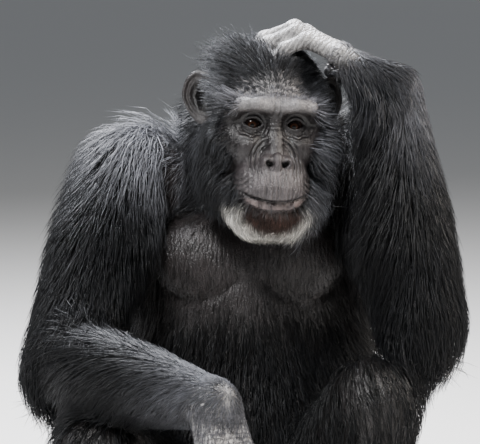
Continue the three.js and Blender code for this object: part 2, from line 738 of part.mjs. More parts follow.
const nearNeck = (p) => Math.min(neckShape(p) - coat.neck + coat.trunk, trunkSkin(p));
const neckLocks = lockRows(neckNet, {
  from: 0.7,
  to: 0.7,
  rows: 1,
  round: 4,
  turns: [10, 170],
  long: 95,
  wide: 24,
  rise: 12,
  depth: coat.trunk,
  lie: () => at(0, 0.8, -0.6),
  skin: nearNeck,
});
add('neck', black, coated(core(neckNet, coat.neck, null, planes.neckTop), neckLocks));
sidesOf.forEach((side) => {
  const name = sideName[side];
  const [kneePlane, anklePlane] = ['knee', 'ankle'].map((joint) => planes[`${joint}_${name}`]);
  const [thighNet, shinNet] = [thigh(side), shin(side)];
  const leg = (p) => Math.min(thighNet.shape(p) - coat.thigh, shinNet.shape(p) - coat.shin);
  const legLocks = (net, options) => lockRows(net, { depth: 0, skin: leg, ...options });
  const thighLocks = legLocks(thighNet, {
    from: 0.35, to: 0.72, rows: 2, round: 3, turns: side === LEFT ? [-60, 170] : [10, 240],
    long: 125, wide: 32, rise: 11, lie: limbLie(hip[side], knee[side], 0.5),
  });
  const shinLocks = legLocks(shinNet, {
    from: 0.14, to: 0.5, rows: 2, round: 3, long: 110, wide: 30, rise: 10, lie: limbLie(knee[side], ankle[side], 0.1),
  });
  add(`thigh_${name}`, black, coated(core(thighNet, coat.thigh, null, kneePlane), thighLocks), true);
  add(`shin_${name}`, black, coated(core(shinNet, coat.shin, kneePlane, anklePlane), shinLocks), true);
  add(`foot_${name}`, handGrey, core(footNet(side), 0, anklePlane), true);
  add(`big_toe_${name}`, handGrey, core(digitNet(bigToePoints(side), 13.5, 7, 8), 0), true);
  toes.forEach((toe) => {
    add(`${toe.name}_${name}`, handGrey, core(digitNet(toePoints(side, toe), toe.girth, 5, 6), 0), true);
  });
});
sidesOf.forEach((side) => {
  const name = sideName[side];
  const [bendPlane, wristPlane] = ['elbow', 'wrist'].map((joint) => planes[`${joint}_${name}`]);
  const [upperNet, lowerNet] = [upperArm(side), forearm(side)];
  const arm = (p) => Math.min(upperNet.shape(p) - coat.upperArm, lowerNet.shape(p) - coat.forearm);
  const armLocks = (net, options) => lockRows(net, { depth: 0, skin: arm, ...options });
  const upperLocks = armLocks(upperNet, {
    from: 0.06, to: 0.34, rows: 2, round: 5, long: 150, wide: 35, rise: 15,
    lie: limbLie(shoulder[side], elbow[side], 0.35),
  });
  const lowerLocks = armLocks(lowerNet, {
    from: 0.3, to: 0.8, rows: 2, round: 5, long: 150, wide: 28, rise: 13,
    lie: limbLie(wrist[side], elbow[side], 0.3),
  });
  add(`upper_arm_${name}`, black, coated(core(upperNet, coat.upperArm, null, bendPlane), upperLocks));
  add(`forearm_${name}`, black, coated(core(lowerNet, coat.forearm, bendPlane, wristPlane), lowerLocks));
  add(`hand_${name}`, handGrey, core(palmNet(side), 0, wristPlane));
  add(`thumb_${name}`, handGrey, core(digitNet(thumbPoints(side), 11.5, 6, 9), 0));
  fingers.forEach((finger, order) => {
    add(`${finger.name}_${name}`, handGrey, core(digitNet(fingerPoints(side, finger, order), finger.girth), 0));
  });
});

export default model;
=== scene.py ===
# A chimpanzee that sits with its left hand on its head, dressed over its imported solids.
import math

import bmesh
import bpy
import numpy as np
from mathutils import Matrix, Vector


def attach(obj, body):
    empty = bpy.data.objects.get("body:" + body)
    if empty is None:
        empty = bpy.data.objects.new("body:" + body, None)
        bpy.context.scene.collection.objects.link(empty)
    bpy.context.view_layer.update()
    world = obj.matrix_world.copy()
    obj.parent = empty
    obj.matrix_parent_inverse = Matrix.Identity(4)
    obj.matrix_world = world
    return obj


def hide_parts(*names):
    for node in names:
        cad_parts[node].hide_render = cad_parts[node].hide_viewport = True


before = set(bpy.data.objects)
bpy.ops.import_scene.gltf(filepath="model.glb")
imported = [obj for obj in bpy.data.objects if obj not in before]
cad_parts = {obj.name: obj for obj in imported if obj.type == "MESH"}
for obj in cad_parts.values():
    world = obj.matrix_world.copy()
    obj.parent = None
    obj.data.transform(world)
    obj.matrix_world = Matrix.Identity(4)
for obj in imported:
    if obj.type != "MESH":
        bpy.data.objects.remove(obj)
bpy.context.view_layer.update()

# The room: a pale painted floor without an edge in view, as in a museum's photo studio. A wide
# soft box hangs behind and lights the hair's rim, a warm one stands at the animal's left, and a
# third lights the face from high in front.
AIM = Vector((-0.012, -0.190, 0.529))


def linear(code):
    parts = [int(code[i : i + 2], 16) / 255 for i in (1, 3, 5)]
    return [c / 12.92 if c <= 0.04045 else ((c + 0.055) / 1.055) ** 2.4 for c in parts] + [1.0]


def node(tree, kind, settings=None, **links):
    new = tree.nodes.new("ShaderNode" + kind)
    for key, value in (settings or {}).items():
        setattr(new, key, value)
    for key, value in links.items():
        name = key.replace("_", " ")
        socket = new.inputs[int(name[1:]) if name[0] == "n" and name[1:].isdigit() else name]
        value = value.outputs[0] if isinstance(value, bpy.types.Node) else value
        if isinstance(value, bpy.types.NodeSocket):
            tree.links.new(value, socket)
        else:
            socket.default_value = value
    return new


def new_material(name):
    material = bpy.data.materials.new(name)
    material.use_nodes = True
    material.node_tree.nodes.clear()
    return material, material.node_tree


def piece_from(bm, name, material, smooth=True):
    mesh = bpy.data.meshes.new(name)
    bm.to_mesh(mesh)
    bm.free()
    mesh.materials.append(material)
    mesh.shade_smooth() if smooth else mesh.shade_flat()
    piece = bpy.data.objects.new(name, mesh)
    bpy.context.scene.collection.objects.link(piece)
    return piece


# Matt floor paint, rolled on: hardly any gloss, and faint clouds a third of a metre across.
floor_paint, tree = new_material("floor_paint")
grain = node(tree, "TexNoise", Scale=3.0, Detail=3.0)
shade = node(tree, "Mix", {"data_type": "RGBA"}, Factor=grain)
shade.inputs["A"].default_value = linear("#dddbd7")
shade.inputs["B"].default_value = linear("#e6e4e0")
paint = node(tree, "BsdfPrincipled", Base_Color=shade.outputs["Result"], Roughness=0.7)
node(tree, "OutputMaterial", Surface=paint)
bm = bmesh.new()
bmesh.ops.create_grid(bm, x_segments=1, y_segments=1, size=40)
floor = piece_from(bm, "studio_floor", floor_paint, smooth=False)


def soft_box(name, place, target, size, power, colour):
    lamp = bpy.data.lights.new(name, "AREA")
    lamp.shape = "DISK"
    lamp.size = size
    lamp.energy = power
    lamp.color = linear(colour)[:3]
    holder = bpy.data.objects.new(name, lamp)
    holder.location = place
    holder.rotation_mode = "QUATERNION"
    holder.rotation_quaternion = (Vector(target) - Vector(place)).to_track_quat("-Z", "Y")
    bpy.context.scene.collection.objects.link(holder)


soft_box("top_light", (-0.5, 1.1, 2.5), (0, -0.15, 0.5), 1.3, 290, "#f4f7ff")
soft_box("side_light", (1.9, -0.5, 1.9), (0, -0.2, 0.5), 1.0, 80, "#fff6ec")
soft_box("face_light", (-0.8, -1.9, 2.6), (0, -0.2, 0.55), 0.6, 135, "#ffffff")
world = bpy.data.worlds.new("studio_air")
world.use_nodes = True
world.node_tree.nodes["Background"].inputs["Color"].default_value = linear("#dfe5ee")
world.node_tree.nodes["Background"].inputs["Strength"].default_value = 0.26
bpy.context.scene.world = world

# The camera looks straight at the animal from a little above, through a long lens.
CAMERA_AWAY, CAMERA_RISE = 2.85, math.radians(7)
camera = bpy.data.objects.new("camera", bpy.data.cameras.new("camera"))
camera.data.lens = 175
camera.data.sensor_width = 36
camera.data.clip_end = 200
camera.location = AIM + Vector((0, -math.cos(CAMERA_RISE), math.sin(CAMERA_RISE))) * CAMERA_AWAY
camera.rotation_mode = "QUATERNION"
camera.rotation_quaternion = (AIM - camera.location).to_track_quat("-Z", "Y")
bpy.context.scene.collection.objects.link(camera)
bpy.context.scene.camera = camera

# The flesh: muscle and bone under one skin, without the coat. Every form is a distance in
# millimetres from its surface, less than 0 inside, with the sizes that the solids were made from.
# In these forms p holds points, q points turned into a form's own frame, and d distances.
RIGHT, LEFT = -1, 1
SIDES = (LEFT, RIGHT)
NAMES = {LEFT: "left", RIGHT: "right"}


def at(x, y, z):
    return np.array([x, y, z], float)


HIP = {LEFT: at(92, -25, 125), RIGHT: at(-92, -25, 125)}
KNEE = {LEFT: at(150, -247, 316), RIGHT: at(-188, -268, 250)}
ANKLE = {LEFT: at(136, -302, 72), RIGHT: at(-142, -430, 70)}
SHOULDER = {LEFT: at(158, 8, 578), RIGHT: at(-152, -6, 562)}
ELBOW = {LEFT: at(208, -216, 408), RIGHT: at(-226, -192, 352)}
WRIST = {LEFT: at(180, -170, 686), RIGHT: at(-42, -388, 343)}
MIRROR = at(-1, 1, 1)


def length(v):
    return np.sqrt(np.einsum("...i,...i->...", v, v))


def unit(v):
    return v / (length(v)[..., None] + 1e-9)


def egg(centre, size, tilt=0):
    c, s = math.cos(math.radians(tilt)), math.sin(math.radians(tilt))
    size = np.array(size, float)
    turn = np.array([(1, 0, 0), (0, c, -s), (0, s, c)]) / size

    def form(p):
        q = (p - centre) @ turn
        big = length(q)
        return big * (big - 1) / (length(q / size) + 1e-9)

    form.balls = [(np.array(centre, float), size, tilt)]
    return form


def bone(start, end, girth, end_girth):
    run = end - start
    square = (run * run).sum()

    def form(p):
        away = p - start
        along = away @ run
        share = np.clip(along / square, 0, 1)
        gap = np.einsum("ij,ij->i", away, away) + share * (share * square - 2 * along)
        return np.sqrt(np.maximum(gap, 0)) - (girth + (end_girth - girth) * share)

    steps = max(2, int(math.sqrt(square) / (0.4 * min(girth, end_girth))) + 1)
    form.balls = [
        (start + run * share, np.full(3, girth + (end_girth - girth) * share), 0)
        for share in np.linspace(0, 1, steps)
    ]
    return form


def chain(points, girths):
    bones = [bone(points[i], points[i + 1], girths[i], girths[i + 1]) for i in range(len(girths) - 1)]

    def form(p):
        return np.min([b(p) for b in bones], axis=0)

    form.balls = sum((b.balls for b in bones), [])
    return form


def soft_min(a, b, soft):
    mix = np.maximum(soft - np.abs(a - b), 0) / soft
    return np.minimum(a, b) - mix * mix * soft / 4


def blend(soft, *forms):
    def form(p):
        near = forms[0](p)
        for other in forms[1:]:
            near = soft_min(near, other(p), soft)
        return near

    form.balls = sum((f.balls for f in forms), [])
    return form


def paired(half):
    def form(p):
        return half(np.abs(p) * (1, 0, 0) + p * (0, 1, 1))

    form.balls = half.balls + [(c * MIRROR, s, t) for c, s, t in half.balls]
    return form


def spin(angle, axis):
    return Matrix.Rotation(math.radians(angle), 4, axis)


# The head: a low skull with a heavy brow and a long muzzle under thin flesh. It is turned a little
# to its left and tipped on the neck, and the origin of its frame is between the eyes.
HEAD_PLACE = at(30, -200, 650)
HEAD = Matrix.Translation(HEAD_PLACE) @ spin(11, "Z") @ spin(-5, "X") @ spin(3.5, "Y")
HEAD_TURN = np.array(HEAD.to_3x3())


def to_head(p):
    return (p - HEAD_PLACE) @ HEAD_TURN


def from_head(q):
    return np.asarray(q, float) @ HEAD_TURN.T + HEAD_PLACE


cranium = egg(at(0, 64, 42), [58, 75, 57], 25)
brow = chain(
    [at(0, -8, 20), at(24, -11, 23), at(43, -4, 21), at(54, 14, 8), at(54, 22, -14)],
    [8.5, 10, 9.5, 8, 9]
)
cheekbone = chain([at(50, 20, -16), at(60, 48, -20), at(60, 74, -4)], [12, 12, 10])
cheek = egg(at(30, 14, -28), [27, 24, 24])
skull_base = egg(at(0, 46, -40), [48, 46, 66])
temple = egg(at(40, 44, 14), [22, 40, 34])
nose_bridge = chain([at(0, 6, 10), at(0, 1, -12), at(0, -12, -34)], [11, 11, 10])
muzzle = egg(at(0, 6, -74), [48, 40, 42])
upper_lip = egg(at(0, -6, -84), [40, 28, 20])
lower_jaw = egg(at(0, 16, -112), [38, 36, 27])
jaw = chain([at(24, 16, -110), at(48, 62, -74), at(54, 74, -26)], [20, 20, 18])
throat = bone(at(0, 44, -92), at(0, 96, -40), 32, 48)
eye_socket = egg(at(28, -12, -1), [18, 19, 13])
nose_tip = blend(4, egg(at(0, -27, -46), [7, 8, 11]), paired(egg(at(11.5, -23, -46), [8, 10, 8])))
skull = blend(
    12, cranium, skull_base, paired(temple), paired(brow), paired(cheekbone), paired(cheek),
    nose_bridge, muzzle, upper_lip, lower_jaw, paired(jaw), throat,
)

MOUTH = {"high": -95, "half": 43, "rise": 12}


def mouth_height(x):
    return MOUTH["high"] + MOUTH["rise"] * (x / MOUTH["half"]) ** 2


def mouth_line(share, lift=0.0, out=0.0):
    x = share * MOUTH["half"]
    return at(x, -29.5 + 27 * share**2 + 11 * share**4 - out, mouth_height(x) + lift)


shares = np.linspace(-1, 1, 13)
lip_top = chain(
    [mouth_line(s * 0.98, 4.4, 0.5) for s in shares], [1.5 + 2.7 * (1 - s * s) ** 0.5 for s in shares]
)
lip_low = chain(
    [mouth_line(s * 0.92, -5.2, 2.2 - 2 * s * s) for s in shares],
    [1.5 + 3.4 * (1 - s * s) ** 0.5 for s in shares]
)
EYE = {"apart": 26, "deep": 11.5, "girth": 11.5, "lid": 1.9, "wide": 10.6, "high": 5.2}


def lid_opening(q):
    bend = (EYE["wide"] ** 2 + EYE["high"] ** 2) / (2 * EYE["high"])
    x = np.abs(q[:, 0]) - EYE["apart"]
    z = q[:, 2] + 0.4 - 0.05 * x
    off = bend - EYE["high"]
    lens = np.maximum(np.hypot(x, z + off), np.hypot(x, z - off)) - bend
    return np.maximum(lens, q[:, 1] - EYE["deep"] + 2)


def ramp(value, low, high):
    return np.clip((value - low) / (high - low), 0, 1)


def bell(away, wide):
    return np.exp(-((away / wide) ** 2))


# Folds of the face: bags under the eyes, creases beside the nose, lines on the upper lip.
def face_folds(q):
    x, y, z = np.abs(q[:, 0]), q[:, 1], q[:, 2]
    front = ramp(34 - y, 0, 14)
    ex, ez = x - EYE["apart"], z
    round_eye = np.hypot(ex * 0.86, ez)
    below = ramp(-ez, 0, 6) * ramp(22 - np.abs(ex), 0, 8)
    above = ramp(ez, 0, 4) * ramp(15 - np.abs(ex), 0, 6)
    sink = 0.7 * below * bell(round_eye - 12.6, 0.9)
    sink += 0.7 * below * bell(round_eye - 16.2 - 0.9 * np.sin(ex * 0.5) - 0.12 * ex, 1.0)
    sink += 0.6 * below * bell(round_eye - 20.4 - 1.1 * np.sin(ex * 0.4 + 1) - 0.2 * ex, 1.1)
    sink += 0.5 * above * bell(round_eye - 10.4, 0.9)
    fold = np.hypot(x * 1.12, (z + 50) * 0.92)
    side = ramp(z + 66, 0, 14) * ramp(x - 6, 0, 5) * ramp(-14 - z, 0, 6)
    sink += side * (
        1.2 * bell(fold - 24, 1.1) + 1.1 * bell(fold - 29.5, 1.2) + 0.9 * bell(fold - 35, 1.3)
    )
    lip = ramp(-74 - z, 0, 5) * ramp(z - MOUTH["high"], 2, 8) * ramp(30 - x, 0, 8)
    sway = q[:, 0] + 0.05 * (z + 80) * (q[:, 0] / 20) + 1.4 * np.sin(q[:, 0] * 0.31)
    sink += 1.0 * lip * bell(((sway + 3.1) % 6.2) - 3.1, 0.9) * (0.6 + 0.4 * np.sin(q[:, 0] * 0.8))
    shut = bell(z - mouth_height(x), 1.5) * ramp(41 - x, 0, 3) * (y < 20)
    sink += 3.4 * shut
    corner = ramp(x - 30, 0, 8) * ramp(-60 - z, 0, 8) * ramp(z + 112, 0, 8)
    sink += 1.3 * corner * bell(((z * 0.9 + x * 0.5 + 1.2 * np.sin(x * 0.35)) % 6.2) - 3.1, 1.1)
    frown = ramp(7 - x, 0, 3) * ramp(z - 6, 0, 5) * ramp(30 - z, 0, 6)
    sink += 0.8 * frown * bell(x - 3.6, 1.0)
    across = ramp(14 - x, 0, 4) * ramp(8 - z, 0, 5) * ramp(z + 12, 0, 5)
    sink += 0.6 * across * bell(((z + 20) % 4.6) - 2.3, 0.8)
    sink += 0.9 * ramp(40 - x, 0, 10) * bell(z - 35 + 0.004 * x * x, 1.6) * ramp(z - 28, 0, 3)
    bumps = np.sin(x * 0.9 + 1.3 * np.sin(z * 0.8)) * np.sin(z * 1.1 + 1.2 * np.sin(q[:, 0] * 0.7))
    brow_skin = ramp(46 - x, 0, 8) * ramp(z - 14, 0, 4) * ramp(34 - z, 0, 4)
    sink += 0.35 * brow_skin * (bumps + 1) / 2
    return 1.35 * sink * front


NOSTRIL = {"apart": 10.2, "high": -49, "deep": 9, "long": 4.9, "tall": 3.0}


def nostrils(q):
    x, z = np.abs(q[:, 0]) - NOSTRIL["apart"], q[:, 2] - NOSTRIL["high"]
    along, over = 0.9 * x + 0.44 * z, 0.9 * z - 0.44 * x - 0.05 * x * x
    return np.exp(-((along / NOSTRIL["long"]) ** 4) - (over / NOSTRIL["tall"]) ** 2) * (q[:, 1] < -8)


def face_form(q, d):
    d = -soft_min(-d, paired(eye_socket)(q), 7)
    nose = nose_tip(q)
    d = soft_min(d + 0.8 * bell(nose - 2.2, 1.4) * (q[:, 2] < -40), nose, 4)
    d = soft_min(d, soft_min(lip_top(q), lip_low(q), 1.5), 4)
    from_eye = np.abs(q) * (1, 0, 0) + q * (0, 1, 1) - at(EYE["apart"], EYE["deep"], 0)
    d = soft_min(d, length(from_eye) - EYE["girth"] - EYE["lid"], 8)
    d = d + face_folds(q)
    return -soft_min(-d, lid_opening(q), 1.0)


def head_form(q):
    d = skull(q)
    front = (q[:, 1] < 35) & (q[:, 2] < 48)
    d[front] = face_form(q[front], d[front])
    return d


head_form.balls = skull.balls + nose_tip.balls

# The trunk: a barrel of ribs and a full belly, hunched forward, with two pads of muscle on the
# breast and the girdle of the shoulders, which carries the neck and the arms.
NIPPLE = at(58, -124, 466)
nipples = paired(egg(NIPPLE, [5, 6, 5]))
torso = blend(
    36,
    blend(
        70, egg(at(0, 10, 90), [132, 108, 92]), egg(at(0, 0, 232), [142, 136, 128]),
        egg(at(0, 16, 396), [144, 128, 146], 8), egg(at(0, 30, 518), [136, 84, 80], 24),
    ),
    egg(at(-64, -70, 466), [60, 42, 50], 10),
    egg(at(64, -70, 472), [60, 42, 50], 10),
    egg(SHOULDER[LEFT] + (-30, 10, -4), [58, 60, 56]),
    egg(SHOULDER[RIGHT] + (26, 12, -4), [58, 60, 56]),
)


def trunk(p):
    d = soft_min(torso(p), nipples(p), 5)
    x, front = np.abs(p[:, 0]), p[:, 1] < -40
    fold = np.hypot((x - 72) / 1.35, p[:, 2] - 462) - 44
    below = ramp(452 - p[:, 2], 0, 12) * front
    return d + 5.0 * below * bell(fold, 3.2)


trunk.balls = torso.balls
nape = from_head([0, 76, -26])
neck = blend(30, bone(at(2, 26, 545), at(8, -14, 604), 86, 70), bone(at(8, -14, 604), nape, 70, 44))


def lerp(a, b, share):
    return a + (b - a) * share


def upper_arm(side):
    top, low = SHOULDER[side], ELBOW[side]
    return chain([top, lerp(top, low, 0.45) + (side * 6, -4, 0), low], [60, 56, 45])


def forearm(side):
    top, low = ELBOW[side], WRIST[side]
    return chain([top, lerp(top, low, 0.28), lerp(top, low, 0.7), low], [42, 45, 35, 28])


def thigh(side):
    return chain([HIP[side], lerp(HIP[side], KNEE[side], 0.5), KNEE[side]], [82, 68, 52])


def shin(side):
    top, low = KNEE[side], ANKLE[side]
    calf = lerp(top, low, 0.32) + (0, 14, 0)
    return blend(14, bone(top, low, 50, 29), bone(calf, lerp(top, low, 0.7), 42, 32))


# Hands: long fingers with thick knuckles and a short thumb on a narrow palm. The left lies on
# the crown with its fingers bent over it, and the right hangs from the wrist.
FINGERS = [  # name, place across the palm, length of the palm, three bones, girth
    ("index", 29, 93, (50, 33, 20), 11.5),
    ("middle", 10, 96, (57, 40, 22), 12),
    ("ring", -10, 91, (53, 37, 21), 11.5),
    ("little", -28, 83, (42, 28, 18), 10.5),
]
HAND = {
    LEFT: {
        "run": at(-0.81, 0.24, 0.53), "thumb": at(0.24, 0.96, -0.1),
        "curls": (4, 44, 22), "thumb_curl": 20,
    },
    RIGHT: {
        "run": at(0.22, -0.42, -0.88), "thumb": at(0.76, 0.65, 0),
        "curls": (24, 38, 26), "thumb_curl": 25,
    },
}


def hand_frame(side):
    along = unit(HAND[side]["run"])
    across = unit(HAND[side]["thumb"] - along * (HAND[side]["thumb"] @ along))
    return along, across, np.cross(along, across) * side


def finger_points(side, order):
    along, across, palm_way = hand_frame(side)
    _, over, palm, bones, _ = FINGERS[order]
    points = [WRIST[side] + along * palm + across * over]
    bend = 0
    for curl, size in zip(HAND[side]["curls"], bones):
        bend += math.radians(curl + order * 1.5)
        way = along * math.cos(bend) + palm_way * math.sin(bend) + across * over * 0.0035
        points.append(points[-1] + unit(way) * size)
    return points


def thumb_points(side):
    along, across, palm_way = hand_frame(side)
    points = [WRIST[side] + along * 22 + across * 24 + palm_way * 8]
    for i, size in enumerate((42, 28, 20)):
        turn = math.radians(34 - i * HAND[side]["thumb_curl"])
        way = along * math.cos(turn) + across * math.sin(turn) + palm_way * 0.25
        points.append(points[-1] + unit(way) * size)
    return points


def digit(points, girth):
    girths = [girth * (1 - 0.09 * i) for i in range(len(points))]
    tip = lerp(points[-1], points[-2], girths[-1] / length(points[-1] - points[-2]))
    line = points[:-1] + [tip]
    knuckles = [egg(line[i], [girths[i] * 1.1] * 3) for i in (1, 2)]
    return blend(
        4, chain(line, [g * (0.97 if i in (1, 2) else 1) for i, g in enumerate(girths)]), *knuckles
    )


def palm(side):
    along, across, _ = hand_frame(side)
    wrist = WRIST[side]
    bones = [
        bone(wrist + across * over * 0.55 + along * 12, wrist + along * size + across * over, 17, 13.5)
        for _, over, size, _, _ in FINGERS
    ]
    return blend(7, bone(wrist, wrist + along * 22, 27, 20), *bones)


# Feet: flat soles on the floor, each with a big toe set apart like a thumb and four short toes
# that grow from the end of the sole.
TOES = [  # place across the sole, length of the sole, three bones, girth
    (19, 148, (30, 20, 15), 10.5),
    (4, 150, (31, 21, 15), 10.5),
    (-11, 143, (29, 19, 14), 10),
    (-26, 130, (24, 16, 13), 9.5),
]
FOOT_WAY = {LEFT: at(0.1, -1, 0), RIGHT: at(-0.16, -1, 0)}
UP = at(0, 0, 1)
THUMB_GIRTH, BIG_TOE_GIRTH = 11.5, 13.5


def foot_frame(side):
    along = unit(FOOT_WAY[side])
    return along, np.cross(UP, along) * -side


def foot_place(side, forward, over, up):
    along, inward = foot_frame(side)
    heel = ANKLE[side] * (1, 1, 0) + at(0, 0, 24) - along * 34
    spot = heel + along * forward + inward * over
    return at(spot[0], spot[1], up)


def foot(side):
    bones = [
        bone(foot_place(side, 60, over * 0.5, 28), foot_place(side, sole, over, 13), 19, 12.5)
        for over, sole, _, _ in TOES
    ]
    heel = bone(foot_place(side, 0, 0, 22), foot_place(side, 60, 2, 30), 25, 24)
    instep = bone(ANKLE[side], foot_place(side, 84, 6, 28), 28, 20)
    return blend(8, heel, instep, *bones)


def toe_points(side, toe):
    over, sole, bones, girth = toe
    along, inward = foot_frame(side)
    points = [foot_place(side, sole, over, 12)]
    for drop, size in zip((0.18, -0.1, -0.3), bones):
        way = along + inward * over * 0.006
        spot = points[-1] + unit(at(way[0], way[1], drop)) * size
        points.append(at(spot[0], spot[1], max(spot[2], girth * 0.72)))
    return points


def big_toe_points(side):
    places = (74, 22, 18), (106, 44, 15), (134, 54, 12), (158, 58, 11)
    return [foot_place(side, *place) for place in places]


# Every part of the flesh, with the box of space that it fills, so that far parts cost no time.
parts = {"trunk": trunk, "neck": neck}


def head_part(p):
    return head_form(to_head(p))


head_part.balls = [(from_head(c), s, ("head", t)) for c, s, t in head_form.balls]
parts["head"] = head_part
for side in SIDES:
    tag = NAMES[side]
    parts["upper_arm_" + tag] = upper_arm(side)
    parts["forearm_" + tag] = forearm(side)
    parts["thigh_" + tag] = thigh(side)
    parts["shin_" + tag] = shin(side)
    digits = [digit(finger_points(side, i), FINGERS[i][4]) for i in range(4)]
    thumb = digit(thumb_points(side), THUMB_GIRTH)
    parts["hand_" + tag] = blend(3, palm(side), *digits, thumb)
    toes = [digit(toe_points(side, toe), toe[3]) for toe in TOES]
    big_toe = digit(big_toe_points(side), BIG_TOE_GIRTH)
    parts["foot_" + tag] = blend(3, foot(side), *toes, big_toe)

filled = {}
for name, form in parts.items():
    centres = np.array([b[0] for b in form.balls])
    sizes = np.array([max(b[1]) for b in form.balls])[:, None]
    filled[name] = (centres - sizes).min(0), (centres + sizes).max(0)


def part_distance(name, p):
    low, high = filled[name]
    d = length(np.maximum(np.maximum(low - p, p - high), 0))
    close = d < 30
    if close.any():
        d[close] = parts[name](p[close])
    return d


# How softly each part runs into those before it, in millimetres. The floor cuts off what is below.
LIMBS = {"upper_arm": 26, "thigh": 12, "forearm": 12, "shin": 12, "hand": 8, "foot": 10}
joins = {"neck": 24, "head": 16}
for side in SIDES:
    joins.update({limb + "_" + NAMES[side]: soft for limb, soft in LIMBS.items()})


def flesh(p):
    d = part_distance("trunk", p)
    for name, soft in joins.items():
        d = soft_min(d, part_distance(name, p), soft)
    return np.maximum(d, -p[:, 2])


# One skin over it all. A rough mesh of balls is remeshed to even squares, cut finer on the hands,
# feet and head and finest on the face, and its points are moved on to the surface of the flesh.
# The nostrils are pushed in last, straight back, so that the points on them stay where they are.
SQUARE = 0.0075  # the side of the squares, in metres
skin_leather, skin_tree = new_material("grey_wrinkled_hide")
bm = bmesh.new()
bmesh.ops.create_icosphere(bm, subdivisions=3, radius=1)
globe = np.array([v.co for v in bm.verts])
globe_faces = np.array([[v.index for v in f.verts] for f in bm.faces])
bm.free()
clouds = []
for form in parts.values():
    for centre, size, tilt in form.balls:
        turn = HEAD @ spin(tilt[1], "X") if isinstance(tilt, tuple) else spin(tilt, "X")
        turn = np.array(turn.to_3x3())
        clouds.append((globe * size @ turn.T + centre) / 1000)
rough_skin = bpy.data.meshes.new("skin")
faces = [globe_faces + i * len(globe) for i in range(len(clouds))]
rough_skin.from_pydata(np.concatenate(clouds).tolist(), [], np.concatenate(faces).tolist())
skin = bpy.data.objects.new("skin", rough_skin)
bpy.context.scene.collection.objects.link(skin)
remesh = skin.modifiers.new("even_squares", "REMESH")
remesh.mode = "VOXEL"
remesh.voxel_size = SQUARE
even = bpy.data.meshes.new_from_object(skin.evaluated_get(bpy.context.evaluated_depsgraph_get()))
skin.modifiers.clear()
skin.data = even
bm = bmesh.new()
bm.from_mesh(even)


PROBE = 0.4  # how far aside a point looks for the slope of the flesh, in millimetres


def settle(bm, rounds, most=6.0, wanted=None, first=0):
    bm.verts.ensure_lookup_table()
    moving = bm.verts[first:]
    p = np.array([v.co for v in moving]) * 1000
    if wanted:
        here = wanted(p)
        moving, p = [moving[i] for i in np.nonzero(here)[0]], p[here]
    for _ in range(rounds):
        near = flesh(p)
        way = np.stack([flesh(p + step) - near for step in np.eye(3) * PROBE], 1) / PROBE
        steep = np.maximum(length(way)[:, None], 0.7)
        p -= way * np.clip(near[:, None] / steep**2, -most, most)
    for vert, co in zip(moving, p / 1000):
        vert.co = co


def finer(bm, wanted):
    count = len(bm.verts)
    bm.faces.ensure_lookup_table()
    middles = np.array([f.calc_center_median() for f in bm.faces]) * 1000
    chosen = [bm.faces[i] for i in np.nonzero(wanted(middles))[0]]
    edges = list({e for f in chosen for e in f.edges})
    bmesh.ops.subdivide_edges(bm, edges=edges, cuts=1, use_grid_fill=True)
    bmesh.ops.triangulate(bm, faces=[f for f in bm.faces if len(f.verts) > 4])
    return count


def near_part(name, p):
    return part_distance(name, p) < 5


def on_hands(p):
    return near_part("hand_left", p) | near_part("hand_right", p)


def on_feet(p):
    return near_part("foot_left", p) | near_part("foot_right", p)


def on_nipples(p, reach=13):
    middle = NIPPLE + (0, 12, 0)
    return np.minimum(length(p - middle), length(p - middle * MIRROR)) < reach


def on_face(p):
    q = to_head(p)
    return (np.abs(q[:, 0]) < 54) & (q[:, 1] < 36) & (q[:, 2] < 40) & (q[:, 2] > -145)


def on_eyes_and_mouth(p):
    q = to_head(p)
    return on_face(p) & (np.abs(q[:, 0]) < 46) & (q[:, 2] < 26) & (q[:, 2] > -112)


def relax(bm, wanted):
    spots = np.array([v.co for v in bm.verts]) * 1000
    chosen = [bm.verts[i] for i in np.nonzero(wanted(spots))[0]]
    for _ in range(4):
        bmesh.ops.smooth_vert(
            bm, verts=chosen, factor=0.5, use_axis_x=True, use_axis_y=True, use_axis_z=True
        )


settle(bm, 3, 12.0)
settle(
    bm, 1,
    first=finer(bm, lambda p: on_hands(p) | on_feet(p) | near_part("head", p) | on_nipples(p, 20))
)
finer(bm, lambda p: on_face(p) | on_nipples(p))
settle(bm, 2, wanted=lambda p: on_hands(p) | on_face(p) | on_nipples(p))
finer(bm, on_eyes_and_mouth)
settle(bm, 3, 1.5, on_eyes_and_mouth)
for most in (1.5, 0.8):
    relax(bm, on_eyes_and_mouth)
    settle(bm, 3, most, on_eyes_and_mouth)
pits = nostrils(to_head(np.array([v.co for v in bm.verts]) * 1000)) * NOSTRIL["deep"]
for vert, pit in zip(bm.verts, pits):
    vert.co += Vector(HEAD_TURN[:, 1] * pit / 1000)
    vert.co.z = max(vert.co.z, 0)
bmesh.ops.recalc_face_normals(bm, faces=bm.faces)
bm.to_mesh(skin.data)
bm.free()
skin.data.materials.clear()
skin.data.materials.append(skin_leather)
skin.data.shade_smooth()

# What grows where: for each point of the skin the lie of its hair, its length in millimetres, how
# high its tips stand, its width, its share of the roots, and the colours of hair and hide. Flanks,
# forearms and whiskers are long and loose; chest, hands and feet are short and let the hide show.
count = len(skin.data.vertices)
spot, upward = np.empty(count * 3), np.empty(count * 3)
skin.data.vertices.foreach_get("co", spot)
skin.data.vertex_normals.foreach_get("vector", upward)
spot, upward = spot.reshape(-1, 3) * 1000, upward.reshape(-1, 3)
names = list(parts)
region = np.argmin([part_distance(name, spot) for name in names], 0)
in_head = to_head(spot)


def hue(code):
    return np.array(linear(code)[:3])


def row(x, y, z):
    return np.stack(np.broadcast_arrays(x, y, z), 1).astype(float)


